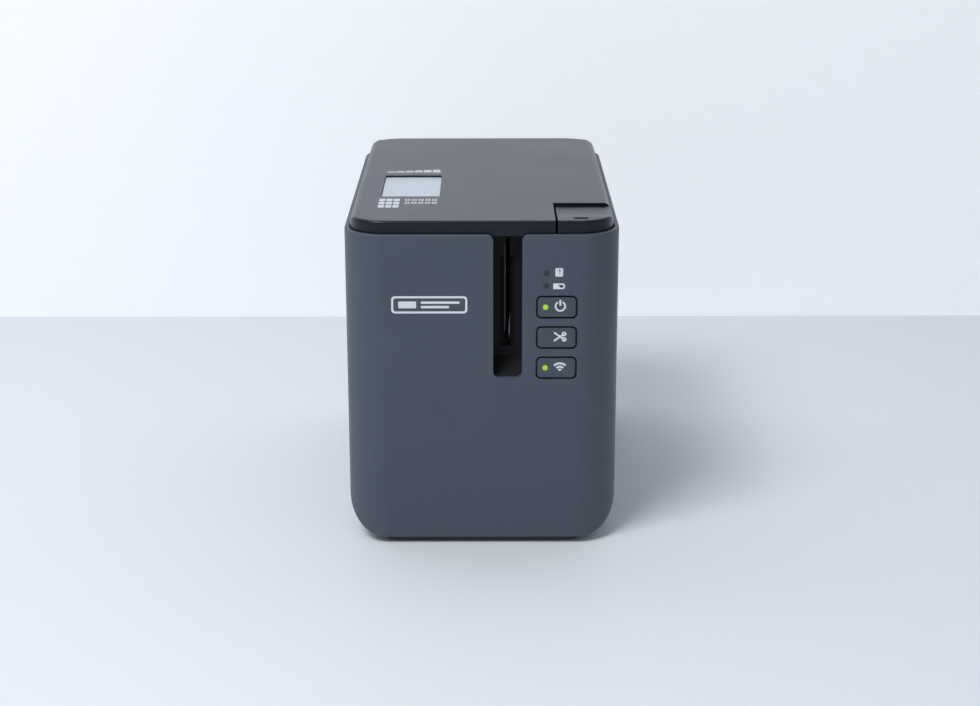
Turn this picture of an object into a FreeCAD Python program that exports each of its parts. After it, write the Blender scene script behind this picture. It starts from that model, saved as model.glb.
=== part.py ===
import FreeCAD, Part

import math
import os

# Desktop label maker for cassettes of laminated tape.
# Frame: +Z up, front faces -Y, +X is the right-hand side seen from the front.
# The origin is on the surface it stands on, under the middle of the case. Sizes are in millimetres.

Vector = FreeCAD.Vector
TINY = 1e-3  # lengths under this count as nothing

# ---------------------------------------------------------------- driving sizes
WIDTH = 118.0
DEPTH = 192.0
HEIGHT = 145.0
WALL = 2.5  # case wall
PLAN_RADIUS = 18.0  # upright corners of the case
BOTTOM_RADIUS = 16.5  # lower side corners, seen from the front
FOOT_HEIGHT = 1.0
BASE_THICKNESS = 2.0
COVER_BAND = 5.5  # height of the top cover that stands above the case rim
COVER_INSET = 2.5  # from the case outline to the cover outline
COVER_SKIN = 2.0
COVER_EDGE = 1.2  # rounding of the cover's front and rear top edges
COVER_SIDE_EDGE = 3.2  # rounding of its side top edges
COVER_OPEN = 100.0  # how far the cover opens, in degrees
LIP = 1.9  # thin lip of the case around the cover
RUN = 0.05  # radial running clearance of a shaft in its bore
GAP = 0.3  # gap between neighbours that move apart
TAPE_X = 11.0  # plane of the tape path
TAPE_WIDTH = 36.0
SLOT_WIDTH = 12.4
SLOT_HEIGHT = 63.0  # from the slot's bottom to the rim
KEY_WIDTH = 16.2
KEY_HEIGHT = 8.6
KEY_PITCH = 13.5
KEY_GAP = 0.8
KEY_PROUD = 0.3  # key faces in front of the case
LENS_RADIUS = 1.25
WINDOW_WIDTH = 26.4
WINDOW_LENGTH = 45.7
BUTTON_WIDTH = 26.8  # cover notch for the release button, from the case side
BUTTON_LENGTH = 37.5
BUTTON_TRAVEL = 2.0
BUTTON_GAP = 1.0
CASSETTE_WIDTH = 61.2
CASSETTE_LENGTH = 84.0
CASSETTE_HEIGHT = 44.0
CASSETTE_WALL = 1.2
CASSETTE_SPARE = 8.0  # height of the cassette over the width of its tape
GEAR_MODULE = 0.8
GEAR_WIDTH = 4.0
BACKLASH = 0.16
PINION_TEETH = 12
IDLER_TEETH = 40
TAPE_GEAR_TEETH = 30
RIBBON_GEAR_TEETH = 24
CAM_TEETH = 40
POST_RADIUS = 1.5
MOTOR_SHAFT = 1.5
CUTTER_SHAFT = 1.0
HINGE_RADIUS = 5.2
HINGE_PIN_LENGTH = 22.0
EAR_WIDTH = 6.6
EAR_RADIUS = 2.9
CUT_ANGLE = 40.0  # crank swing to each side of the cutter's middle position
CRANK_RADIUS = 6.0
BLADE_THICKNESS = 1.3
BLADE_TILT = 4.0  # lean of the open moving blade, in degrees
SCREW_HEAD = 1.2
SCREW_RADIUS = 1.1

# ---------------------------------------------------------------- planes and places
HALF = WIDTH / 2
FRONT = -DEPTH / 2
REAR = DEPTH / 2
TOP = HEIGHT
RIM = TOP - COVER_BAND
CASE_BOTTOM = FOOT_HEIGHT + BASE_THICKNESS
REBATE = RIM - 1.3  # floor of the step inside the lip
SKIRT = REBATE + GAP  # lower edge of the cover's skirt
LINER_LOW = TOP - COVER_SKIN - 1.4
HATCH_HALF = 34.0  # opening in the case bottom, closed by the base plate
HATCH_INSET = 14.0
HATCH_RADIUS = 5.0
DECK = TOP - 12.0  # top of the inner deck
DECK_SKIN = 2.0
FLOOR = TOP - 59.0  # floor of the cassette bay
PLATE_TOP = FLOOR - 10.0  # steel mechanism plate
PLATE_SKIN = 2.0
GEAR_LOW = PLATE_TOP + 2.5
GEAR_HIGH = GEAR_LOW + GEAR_WIDTH
HINGE_Y = REAR - HINGE_RADIUS
HINGE_Z = TOP - HINGE_RADIUS
EAR_HALF = HINGE_RADIUS - WALL - 0.7  # half depth of a hinge ear's foot, clear of the rear wall
EAR_X = (37.7, -44.3)
HINGE_PIN_X = (30.0, -52.0)
TAPE_LOW = FLOOR + 4.0
TAPE_HIGH = TAPE_LOW + TAPE_WIDTH + 1.0
SPOOL_LENGTH = CASSETTE_HEIGHT - CASSETTE_SPARE + 1.0  # rolls and spools in the cassette
SPOOL_HIGH = TAPE_LOW + SPOOL_LENGTH
SLOT_X = TAPE_X
SLOT_BOTTOM = RIM - SLOT_HEIGHT
KEY_X = SLOT_X + 20.9
KEY_Z = [RIM - 31.5, RIM - 31.5 - KEY_PITCH, RIM - 31.5 - 2 * KEY_PITCH]
STATUS_X = KEY_X - 4.5
STATUS_Z = [RIM - 16.6, RIM - 22.1]
LENS_X = KEY_X - 4.8
BUTTON_X = HALF - BUTTON_WIDTH - 1.0
BUTTON_Y = FRONT + BUTTON_LENGTH
WINDOW_X = -HALF + 13.9
WINDOW_Y = FRONT + 51.3
BOSS_INSET = 9.2
BOSS_RADIUS = 3.6
CASSETTE_X = TAPE_X + 1.2 - CASSETTE_WIDTH
CASSETTE_Y = FRONT + 38.0
CASSETTE_TOP = FLOOR + CASSETTE_HEIGHT
CASSETTE_SPLIT = CASSETTE_TOP - 12.0  # between the cassette's case and its lid
HEAD_Y = FRONT + 71.0
DRIVE_ROLLER_RADIUS = 4.3
PLATEN_RADIUS = 5.6
PLATEN_CORE = 2.5
TAPE_GAP = 0.15  # left for the tape between a roller and what it presses on
TAPE_SPINDLE = (TAPE_X - TAPE_GAP - DRIVE_ROLLER_RADIUS, FRONT + 44.0)
PRESSURE_X = TAPE_X + DRIVE_ROLLER_RADIUS
PLATEN_X = TAPE_X + PLATEN_RADIUS
HOLDER_PIN = (TAPE_X + 13.0, FRONT + 104.0)
HOLDER_Z = (FLOOR + 0.6, FLOOR + 43.4)
SHAFT_Z = (FLOOR + 0.8, FLOOR + 43.2)  # ends of the rollers' shafts in the holder
SPINDLE_PIN_TOP = FLOOR + 12.0
POCKET = (CASSETTE_X - 2.5, TAPE_X + 23.0, FRONT + 17.5, CASSETTE_Y + CASSETTE_LENGTH + 2.0)
LATCH_Y = BUTTON_Y - 4.5
LATCH_Z = DECK - 17.0
LATCH_X = POCKET[1] + 4.2
CUTTER_X = TAPE_X + 1.5
CUTTER_Z = FLOOR - 6.0
CUTTER_Y = FRONT + 26.0  # front face of the cutter frame's upper leg
CUTTER_SKIN = 1.5
CUTTER_LEG_Y = FRONT + 35.8  # rear face of the cutter frame's lower leg
CAM_Y = FRONT + 29.3  # front face of the cam gear
LEVER = 29.6  # from the blade pivot down to the cam gear's axis
BOARD_Z = CASE_BOTTOM + 11.0
BOARD_SKIN = 1.6
BOARD_HALF = 44.0
BOARD_Y = (REAR - 90.0, REAR - 8.0)
BOARD_TOP = BOARD_Z + BOARD_SKIN
HEADER_HEIGHT = 0.9  # socket of the key cable on the main board
SOCKET_FACE = REAR - 0.4
PANEL_HALF = 44.0
PANEL_Z = (CASE_BOTTOM + 7.0, CASE_BOTTOM + 47.0)
KEY_BOARD_Y = FRONT + 9.0
KEY_BOARD_REAR = KEY_BOARD_Y + BOARD_SKIN


def pitch_radius(teeth):
    return GEAR_MODULE * teeth / 2


def polar(centre, distance, degrees):
    """The point at a distance and direction from a centre, in the plane of the gears."""
    a = math.radians(degrees)
    return (centre[0] + distance * math.cos(a), centre[1] + distance * math.sin(a))


TAPE_BEARING = 290.0  # directions of the gears around the idler, in degrees
RIBBON_BEARING = 205.0
MOTOR_BEARING = 30.0
IDLER_TURN = 0.0
IDLER = polar(TAPE_SPINDLE, pitch_radius(TAPE_GEAR_TEETH) + pitch_radius(IDLER_TEETH), TAPE_BEARING - 180.0)
RIBBON_SPINDLE = polar(IDLER, pitch_radius(RIBBON_GEAR_TEETH) + pitch_radius(IDLER_TEETH), RIBBON_BEARING)
FEED_MOTOR = polar(IDLER, pitch_radius(PINION_TEETH) + pitch_radius(IDLER_TEETH), MOTOR_BEARING)


# ---------------------------------------------------------------- shape helpers
def box(x0, x1, y0, y1, z0, z1):
    return Part.makeBox(x1 - x0, y1 - y0, z1 - z0, Vector(x0, y0, z0))


def cyl_x(x0, x1, y, z, r):
    return Part.makeCylinder(r, x1 - x0, Vector(x0, y, z), Vector(1, 0, 0))


def cyl_y(x, y0, y1, z, r):
    return Part.makeCylinder(r, y1 - y0, Vector(x, y0, z), Vector(0, 1, 0))


def cyl_z(x, y, z0, z1, r):
    return Part.makeCylinder(r, z1 - z0, Vector(x, y, z0), Vector(0, 0, 1))


def fuse(first, *others):
    return first.multiFuse(list(others)).removeSplitter()


def group(*solids):
    return Part.makeCompound(list(solids))


def runs_along(edge, axis):
    """True for a straight edge parallel to that axis: 0 is X, 1 is Y, 2 is Z."""
    ends = [v.Point for v in edge.Vertexes]
    if len(ends) != 2:
        return False
    step = ends[1] - ends[0]
    return all(abs(step[k]) < TINY for k in range(3) if k != axis)


def round_edges(shape, radius, wanted):
    return shape.makeFillet(radius, [e for e in shape.Edges if wanted(e)])


def prism(x0, x1, y0, y1, z0, z1, radius):
    """Upright block with rounded vertical corners."""
    return round_edges(box(x0, x1, y0, y1, z0, z1), radius, lambda e: runs_along(e, 2))


def face_block(x0, x1, y0, y1, z0, z1, radius):
    """Block with rounded corners seen from the front."""
    return round_edges(box(x0, x1, y0, y1, z0, z1), radius, lambda e: runs_along(e, 1))


def case_form(inset, z0, z1):
    """The case outline taken in by an inset: rounded in plan, and at the lower side corners."""
    plan = prism(-HALF + inset, HALF - inset, FRONT + inset, REAR - inset, z0, z1, PLAN_RADIUS - inset)
    tunnel = box(-HALF + inset, HALF - inset, FRONT + inset, REAR - inset, z0, z1)
    tunnel = round_edges(
        tunnel, BOTTOM_RADIUS - inset,
        lambda e: runs_along(e, 1) and e.Vertexes[0].Z < z0 + TINY)
    return plan.common(tunnel)


def gear_2d(teeth):
    """Closed wire of an involute spur gear with straight chords along each flank, one tooth on +X."""
    rp = pitch_radius(teeth)
    rb = rp * math.cos(math.radians(20.0))
    ra = rp + GEAR_MODULE
    rf = rp - 1.25 * GEAR_MODULE
    inv = lambda r: math.sqrt((r / rb) ** 2 - 1) - math.acos(rb / r) if r > rb else 0.0
    half_tooth = (math.pi * GEAR_MODULE / 2 - BACKLASH) / (2 * rp)
    radii = [max(rf, rb), rp, ra]
    points = []
    for k in range(teeth):
        middle = 2 * math.pi * k / teeth
        flank = [(r, half_tooth + inv(rp) - inv(r)) for r in radii]
        if rf < rb:
            flank.insert(0, (rf, flank[0][1]))
        points += [(r, middle - a) for r, a in flank]
        points += [(r, middle + a) for r, a in reversed(flank)]
    corners = [Vector(r * math.cos(a), r * math.sin(a), 0) for r, a in points]
    return Part.makePolygon(corners + [corners[0]])


def spur_gear(teeth, width, turn):
    """Gear standing on the XY plane around the origin, turned by an angle in degrees."""
    solid = Part.Face(gear_2d(teeth)).extrude(Vector(0, 0, width))
    solid.rotate(Vector(0, 0, 0), Vector(0, 0, 1), turn)
    return solid


def mesh_turn(teeth, other_teeth, other_turn, bearing):
    """Turn that sets a tooth gap on the other gear's tooth, with the bearing from that gear to this one."""
    phase = (bearing - other_turn) * other_teeth / 360.0
    return bearing + 180.0 + (phase + 0.5) * 360.0 / teeth


def coil_spring(x, y, z0, z1, radius, wire, turns):
    """Compression spring with its axis upright."""
    helix = Part.makeHelix((z1 - z0 - 2 * wire) / turns, z1 - z0 - 2 * wire, radius)
    start = Part.Wire(Part.makeCircle(wire, Vector(radius, 0, 0), Vector(0, 1, 0)))
    solid = Part.Wire(helix.Edges).makePipeShell([start], True, True)
    solid.translate(Vector(x, y, z0 + wire))
    return solid


def screw(x, y, head_z, length, down=True):
    """Pan-head screw standing on head_z, its shank going down, or up for a screw put in from below."""
    sign = -1.0 if down else 1.0
    head = Part.makeCylinder(2 * SCREW_RADIUS, SCREW_HEAD, Vector(x, y, head_z), Vector(0, 0, -sign))
    shank = Part.makeCylinder(SCREW_RADIUS, length, Vector(x, y, head_z), Vector(0, 0, sign))
    recess = Part.makeBox(0.5, 2.2, 0.7)
    recess.translate(Vector(x - 0.25, y - 1.1, head_z + (SCREW_HEAD - 0.7 if down else -SCREW_HEAD)))
    return fuse(head, shank).cut(recess)


# ---------------------------------------------------------------- case
def boss_places():
    return [(sx * (HALF - BOSS_INSET), y)
            for sx in (-1, 1) for y in (FRONT + BOSS_INSET, REAR - BOSS_INSET)]


def base_screw_places():
    return [(sx * 39.5, y) for sx in (-1, 1) for y in (FRONT + 18.0, REAR - 18.0)]


def slot_cutter(depth_out, depth_in, extra=0.0):
    """Upright tape slot, rounded at its bottom and open at the rim, with flared upper corners."""
    half = SLOT_WIDTH / 2 + extra
    flare = 2.6
    low = face_block(SLOT_X - half, SLOT_X + half, FRONT - depth_out, FRONT + depth_in,
                     SLOT_BOTTOM - extra, RIM + 20.0, 2.6)
    top = box(SLOT_X - half - flare, SLOT_X + half + flare, FRONT - depth_out, FRONT + depth_in,
              RIM - flare, RIM + 1.0)
    for sx in (-1, 1):
        top = top.cut(cyl_y(SLOT_X + sx * (half + flare), FRONT - depth_out, FRONT + depth_in,
                            RIM - flare, flare))
    return fuse(low, top)


def key_holes(extra, y0, y1):
    return [face_block(KEY_X - KEY_WIDTH / 2 - extra, KEY_X + KEY_WIDTH / 2 + extra, y0, y1,
                       z - KEY_HEIGHT / 2 - extra, z + KEY_HEIGHT / 2 + extra, 1.6 + extra)
            for z in KEY_Z]


def lip_step(z0):
    """Space inside the case's thin lip, from z0 up."""
    return prism(-HALF + LIP, HALF - LIP, FRONT + LIP, REAR - LIP, z0, RIM + 1.0, PLAN_RADIUS - LIP)


def rear_corner_low():
    """Lowest height of the cover's rear top corner, which swings down behind the hinge as the cover opens."""
    reach = HINGE_RADIUS * math.sqrt(2)
    return HINGE_Z - reach * math.sin(math.radians(COVER_OPEN - 45.0))


def hatch_block(inset, z0, z1):
    """Block that fills the opening in the case bottom, taken in by an inset."""
    x, y = HATCH_HALF - inset, HATCH_INSET + inset
    return prism(-x, x, FRONT + y, REAR - y, z0, z1, HATCH_RADIUS - inset)


def make_body_shell():
    outer = case_form(0.0, CASE_BOTTOM, RIM)
    outer = round_edges(outer, 0.6, lambda e: e.BoundBox.ZMin > RIM - TINY)
    solid = outer.cut(case_form(WALL, CASE_BOTTOM + WALL, RIM + 1.0))
    solid = solid.cut(lip_step(REBATE))
    bosses = [cyl_z(x, y, CASE_BOTTOM, DECK - DECK_SKIN, BOSS_RADIUS).common(outer)
              for x, y in boss_places()]
    bosses += [cyl_z(x, y, CASE_BOTTOM + 1.0, CASE_BOTTOM + 9.0, 3.2)
               for x, y in base_screw_places()]
    solid = solid.multiFuse(bosses)
    tools = [slot_cutter(1.0, WALL + 1.0)]
    tools += key_holes(KEY_GAP, FRONT - 1.0, FRONT + WALL + 1.0)
    tools.append(lip_step(SKIRT - BUTTON_TRAVEL - GAP).common(button_notch(0.5, 0.0, TOP)))
    tools += [cyl_y(STATUS_X, FRONT - 1.0, FRONT + WALL + 1.0, z, LENS_RADIUS + 0.05) for z in STATUS_Z]
    tools.append(hatch_block(0.0, CASE_BOTTOM - 1.0, CASE_BOTTOM + WALL + 1.0))
    tools.append(face_block(-PANEL_HALF, PANEL_HALF, REAR - WALL - 1.0, REAR + 1.0,
                            PANEL_Z[0], PANEL_Z[1], 3.0))
    tools.append(cyl_x(-HALF - 1.0, HALF + 1.0, HINGE_Y, HINGE_Z, HINGE_RADIUS + GAP))
    tools.append(box(-HALF - 1.0, HALF + 1.0, HINGE_Y, REAR + 1.0, rear_corner_low() - GAP, TOP))
    tools += [cyl_z(x, y, DECK - DECK_SKIN - 10.0, DECK, SCREW_RADIUS) for x, y in boss_places()]
    tools += [cyl_z(x, y, CASE_BOTTOM - 1.0, CASE_BOTTOM + 7.5, SCREW_RADIUS)
              for x, y in base_screw_places()]
    return solid.cut(tools).removeSplitter()


def make_base_plate():
    slab = prism(-47.0, 47.0, FRONT + 2.5, REAR - 2.5, FOOT_HEIGHT, CASE_BOTTOM, 12.0)
    ring = hatch_block(GAP, CASE_BOTTOM, CASE_BOTTOM + 5.0)
    ring = ring.cut(hatch_block(GAP + BASE_THICKNESS, CASE_BOTTOM, CASE_BOTTOM + 6.0))
    posts = [cyl_z(x, y, CASE_BOTTOM, BOARD_Z, 3.0) for x, y in board_screw_places()]
    solid = fuse(slab, ring, *posts)
    holes = [cyl_z(x, y, FOOT_HEIGHT - 1.0, CASE_BOTTOM + 1.0, SCREW_RADIUS)
             for x, y in base_screw_places()]
    holes += [cyl_z(x, y, FOOT_HEIGHT - 1.0, FOOT_HEIGHT + SCREW_HEAD, 2 * SCREW_RADIUS + 0.3)
              for x, y in base_screw_places()]
    holes += [cyl_z(x, y, BOARD_Z - 7.0, BOARD_Z + 1.0, SCREW_RADIUS) for x, y in board_screw_places()]
    for k in range(9):
        y = FRONT + 40.0 + 6.0 * k
        holes.append(prism(-20.0, 20.0, y, y + 2.4, 0.0, CASE_BOTTOM + 1.0, 1.1))
    return solid.cut(holes)


def board_screw_places():
    return [(sx * 27.0, y) for sx in (-1, 1) for y in (BOARD_Y[0] + 12.0, BOARD_Y[1] - 14.0)]


def make_rubber_feet():
    feet = []
    for sx in (-1, 1):
        for y in (FRONT + 30.0, REAR - 30.0):
            foot = cyl_z(sx * 37.0, y, 0.0, FOOT_HEIGHT, 7.0)
            feet.append(round_edges(foot, 0.35, lambda e: e.BoundBox.ZMax < TINY))
    return group(*feet)


def connector_places():
    """Name, left and right edge, width and height of each socket on the rear edge of the main board."""
    return {"dc": (-40.0, 11.0, 11.5), "usb_b": (-24.5, 12.0, 11.0), "usb_a": (-8.0, 14.4, 7.2),
            "lan": (10.5, 16.0, 13.5), "serial": (30.0, 12.5, 12.0)}


def make_rear_panel():
    plate = face_block(-PANEL_HALF + 0.2, PANEL_HALF - 0.2, REAR - WALL - 0.5, REAR - 0.5,
                       PANEL_Z[0] + 0.2, PANEL_Z[1] - 0.2, 2.8)
    flange = box(-PANEL_HALF - 2.0, PANEL_HALF + 2.0, REAR - WALL - 1.5, REAR - WALL,
                 PANEL_Z[0] - 0.5, PANEL_Z[1] + 2.0)
    flange = flange.common(case_form(WALL + 0.02, CASE_BOTTOM + WALL, RIM))
    solid = fuse(plate, flange)
    cuts = [box(x - GAP, x + w + GAP, REAR - 6.0, REAR + 1.0, BOARD_TOP - GAP, BOARD_TOP + h + GAP)
            for x, w, h in connector_places().values()]
    for k in range(10):
        x = -31.0 + 6.5 * k
        cuts.append(face_block(x, x + 3.0, REAR - 6.0, REAR + 1.0, PANEL_Z[1] - 13.0, PANEL_Z[1] - 3.5, 1.4))
    return solid.cut(cuts)


# ---------------------------------------------------------------- inner frame
def chute_space():
    """Room for the exit chute, open to the front wall."""
    half = SLOT_WIDTH / 2 + 1.8
    return box(SLOT_X - half - 0.25, SLOT_X + half + 0.25, FRONT, FRONT + 15.5, SLOT_BOTTOM - 10.0, TOP)


def hinge_ears():
    """Eyes on feet that stand on the deck and carry the cover's hinge pins."""
    ears = []
    for x0 in EAR_X:
        x1 = x0 + EAR_WIDTH
        ear = fuse(cyl_x(x0, x1, HINGE_Y, HINGE_Z, EAR_RADIUS),
                   box(x0, x1, HINGE_Y - EAR_HALF, HINGE_Y + EAR_HALF, DECK - DECK_SKIN, HINGE_Z))
        ears.append(ear.cut(cyl_x(x0 - 1.0, x1 + 1.0, HINGE_Y, HINGE_Z, POST_RADIUS + RUN)))
    return ears


def plate_post_places():
    return [(POCKET[0] + 6.0, POCKET[2] + 12.0), (POCKET[0] + 6.0, POCKET[3] - 6.0),
            (POCKET[1] - 5.0, POCKET[3] - 6.0), (POCKET[1] - 4.0, POCKET[2] + 26.0)]


def button_guides():
    """Low corner of each square guide stem of the release button."""
    return [(BUTTON_X + 20.8, FRONT + 14.5), (BUTTON_X + 2.2, FRONT + 4.6)]


def make_cassette_bay():
    edge = WALL + 0.3
    deck = prism(-HALF + edge, HALF - edge, FRONT + edge, REAR - edge, DECK - DECK_SKIN, DECK,
                 PLAN_RADIUS - edge)
    x0, x1, y0, y1 = POCKET
    tub = prism(x0 - 2.0, x1 + 2.0, y0 - 2.0, y1 + 2.0, FLOOR - 2.0, DECK, 3.0)
    ear_x0, ear_x1 = LATCH_X + 15.2, LATCH_X + 17.2
    latch_ear = fuse(box(ear_x0, ear_x1, LATCH_Y - 4.0, LATCH_Y + 4.0, LATCH_Z, DECK - 1.0),
                     cyl_x(ear_x0, ear_x1, LATCH_Y, LATCH_Z, 4.0))
    solid = deck.multiFuse([tub, latch_ear] + hinge_ears())
    posts = [cyl_z(x, y, PLATE_TOP, FLOOR - 1.0, 3.0) for x, y in plate_post_places()]
    solid = solid.multiFuse(posts)
    tools = [prism(x0, x1, y0, y1, FLOOR, DECK + 1.0, 1.2)]
    tools.append(box(TAPE_X - 18.0, x1 - 0.5, y0, FRONT + 34.0, FLOOR - 3.0, FLOOR + 1.0))
    tools.append(box(TAPE_X - 3.0, TAPE_X + 3.0, y0 - 3.0, y0 + 1.0, FLOOR, DECK + 1.0))
    tools.append(chute_space())
    tools.append(box(LATCH_X - 1.9, LATCH_X + 14.5, LATCH_Y - 13.5, LATCH_Y + 9.0, DECK - 3.0, DECK + 1.0))
    for cx, cy in (TAPE_SPINDLE, RIBBON_SPINDLE):
        tools.append(cyl_z(cx, cy, FLOOR - 3.0, FLOOR + 1.0, 3.6))
    tools.append(cyl_z(HOLDER_PIN[0], HOLDER_PIN[1], FLOOR - 3.0, FLOOR + 1.0, POST_RADIUS))
    tools.append(cyl_x(x1 - 1.0, LATCH_X + 20.0, LATCH_Y, LATCH_Z, POST_RADIUS))
    for x, y in button_guides():
        tools.append(box(x - 0.25, x + 2.75, y - 0.25, y + 2.75, DECK - 3.0, DECK + 1.0))
    for x, y in boss_places():
        tools.append(cyl_z(x, y, DECK - 3.0, DECK + 1.0, SCREW_RADIUS))
    for x, y in plate_post_places():
        tools.append(cyl_z(x, y, PLATE_TOP - 1.0, PLATE_TOP + 6.0, SCREW_RADIUS))
    return solid.cut(tools).removeSplitter()


def make_exit_chute():
    """Black funnel behind the tape slot: two cheeks, a sloping floor and a back wall with the tape slit."""
    half = SLOT_WIDTH / 2
    x0, x1 = SLOT_X - half - 1.8, SLOT_X + half + 1.8
    y0, y1 = FRONT + WALL, FRONT + 15.3
    solid = box(x0, x1, y0, y1, SLOT_BOTTOM - 3.0, RIM - 1.5)
    hollow = box(SLOT_X - half, SLOT_X + half, y0 - 1.0, y1 - 2.0, SLOT_BOTTOM + 6.0, RIM)
    slope = Part.Face(Part.makePolygon([
        Vector(SLOT_X - half, y0 - 1.0, SLOT_BOTTOM), Vector(SLOT_X - half, y1 - 2.0, SLOT_BOTTOM + 6.0),
        Vector(SLOT_X - half, y0 - 1.0, SLOT_BOTTOM + 6.0), Vector(SLOT_X - half, y0 - 1.0, SLOT_BOTTOM)]))
    slope = slope.extrude(Vector(2 * half, 0, 0))
    slit = box(TAPE_X - 1.1, TAPE_X + 1.1, y1 - 3.0, y1 + 1.0, FLOOR + 1.0, RIM)
    mouth = Part.Face(Part.makePolygon([
        Vector(TAPE_X - 3.2, y1 - 2.0, FLOOR + 1.0), Vector(TAPE_X + 3.2, y1 - 2.0, FLOOR + 1.0),
        Vector(TAPE_X, y1, FLOOR + 1.0), Vector(TAPE_X - 3.2, y1 - 2.0, FLOOR + 1.0)]))
    mouth = mouth.extrude(Vector(0, 0, TAPE_WIDTH + 4.0))
    return solid.cut([hollow, slope, slit, mouth])


# ---------------------------------------------------------------- keys and their board
def make_key(index):
    """Key cap with a retaining flange and a stem that reaches into its switch."""
    z = KEY_Z[index]
    x0, x1 = KEY_X - KEY_WIDTH / 2, KEY_X + KEY_WIDTH / 2
    z0, z1 = z - KEY_HEIGHT / 2, z + KEY_HEIGHT / 2
    cap = face_block(x0, x1, FRONT - KEY_PROUD, FRONT + 3.0, z0, z1, 1.6)
    cap = round_edges(cap, 0.3, lambda e: e.BoundBox.YMax < FRONT - KEY_PROUD + TINY)
    flange = face_block(x0 - 1.2, x1 + 1.2, FRONT + WALL + GAP, FRONT + 3.8, z0 - 1.2, z1 + 1.2, 1.6)
    stem = box(KEY_X + 0.5, KEY_X + 3.1, FRONT + 3.5, FRONT + 7.6, z - 1.3, z + 1.3)
    solid = fuse(cap, flange, stem)
    if index != 1:
        solid = solid.cut(cyl_y(LENS_X, FRONT - 1.0, FRONT + 5.0, z, LENS_RADIUS))
    return solid


def make_lens(index):
    face = FRONT - KEY_PROUD + 0.05
    lens = cyl_y(LENS_X, face, FRONT + 4.6, KEY_Z[index], LENS_RADIUS)
    return round_edges(lens, 0.3, lambda e: e.BoundBox.YMax < face + TINY)


def make_status_lenses():
    lenses = []
    for z in STATUS_Z:
        body = cyl_y(STATUS_X, FRONT + 0.1, FRONT + 5.6, z, LENS_RADIUS)
        collar = cyl_y(STATUS_X, FRONT + WALL, FRONT + WALL + 1.0, z, LENS_RADIUS + 0.7)
        lenses.append(fuse(body, collar))
    return group(*lenses)


def key_board_screw_places():
    return [(KEY_X + 6.0, STATUS_Z[0] + 1.0), (KEY_X - 6.0, KEY_Z[2] - 8.8)]


def make_key_board():
    board = box(KEY_X - 9.0, KEY_X + 11.0, KEY_BOARD_Y, KEY_BOARD_REAR, KEY_Z[2] - 12.0, STATUS_Z[0] + 4.0)
    return board.cut([cyl_y(x, KEY_BOARD_Y - 1.0, KEY_BOARD_Y + 3.0, z, SCREW_RADIUS)
                      for x, z in key_board_screw_places()])


def make_key_board_posts():
    """Two stand-offs between the front wall and the key board."""
    return [cyl_y(x, FRONT + WALL, KEY_BOARD_Y, z, 2.6).cut(
        cyl_y(x, FRONT + WALL + 2.0, KEY_BOARD_Y + 1.0, z, SCREW_RADIUS))
        for x, z in key_board_screw_places()]


def make_key_switches():
    switches = []
    for z in KEY_Z:
        housing = box(KEY_X - 1.2, KEY_X + 4.8, FRONT + 7.2, KEY_BOARD_Y, z - 3.0, z + 3.0)
        well = box(KEY_X + 0.2, KEY_X + 3.4, FRONT + 7.0, FRONT + 8.4, z - 1.6, z + 1.6)
        switches.append(housing.cut(well))
    return group(*switches)


def make_indicator_lamps():
    lamps = [(LENS_X, KEY_Z[0], 5.4), (LENS_X, KEY_Z[2], 5.4), (STATUS_X, STATUS_Z[0], 6.0),
             (STATUS_X, STATUS_Z[1], 6.0)]
    return group(*[box(x - 1.0, x + 1.0, FRONT + y, KEY_BOARD_Y, z - 1.3, z + 1.3)
                   for x, z, y in lamps])


def make_key_cable():
    """Flat ribbon from the key board down the front, along the base and up on to the main board."""
    half, thick, bend = 4.0, 0.3, 6.0
    x0, x1 = KEY_X - half, KEY_X + half
    y0, z0 = KEY_BOARD_REAR + 0.3, KEY_Z[2] - 2.0
    low, high = CASE_BOTTOM + 5.6, BOARD_TOP + HEADER_HEIGHT + thick / 2
    ys = [y0 + bend, BOARD_Y[0] - 16.0, BOARD_Y[0] - 3.0, BOARD_Y[0] + 5.0]
    zs = [low, low, high, high]
    ring = cyl_x(x0, x1, y0 + bend, low + bend, bend + thick / 2)
    ring = ring.cut(cyl_x(x0, x1, y0 + bend, low + bend, bend - thick / 2))
    ring = ring.common(box(x0, x1, y0 - 1.0, y0 + bend, low - 1.0, low + bend))
    drop = box(x0, x1, y0 - thick / 2, y0 + thick / 2, low + bend, z0)
    lower = [Vector(x0, y, z - thick / 2) for y, z in zip(ys, zs)]
    upper = [Vector(x0, y, z + thick / 2) for y, z in zip(ys, zs)]
    run = Part.Face(Part.makePolygon(lower + upper[::-1] + lower[:1])).extrude(Vector(2 * half, 0, 0))
    plug = box(x0 - 1.0, x1 + 1.0, KEY_BOARD_REAR, KEY_BOARD_REAR + 2.2, z0 - 1.0, z0 + 3.0)
    return fuse(ring, drop, run, plug)


# ---------------------------------------------------------------- electronics on the base
def make_main_board():
    board = box(-BOARD_HALF, BOARD_HALF, BOARD_Y[0], BOARD_Y[1], BOARD_Z, BOARD_Z + BOARD_SKIN)
    return board.cut([cyl_z(x, y, BOARD_Z - 1.0, BOARD_Z + 3.0, SCREW_RADIUS)
                      for x, y in board_screw_places()])


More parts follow.
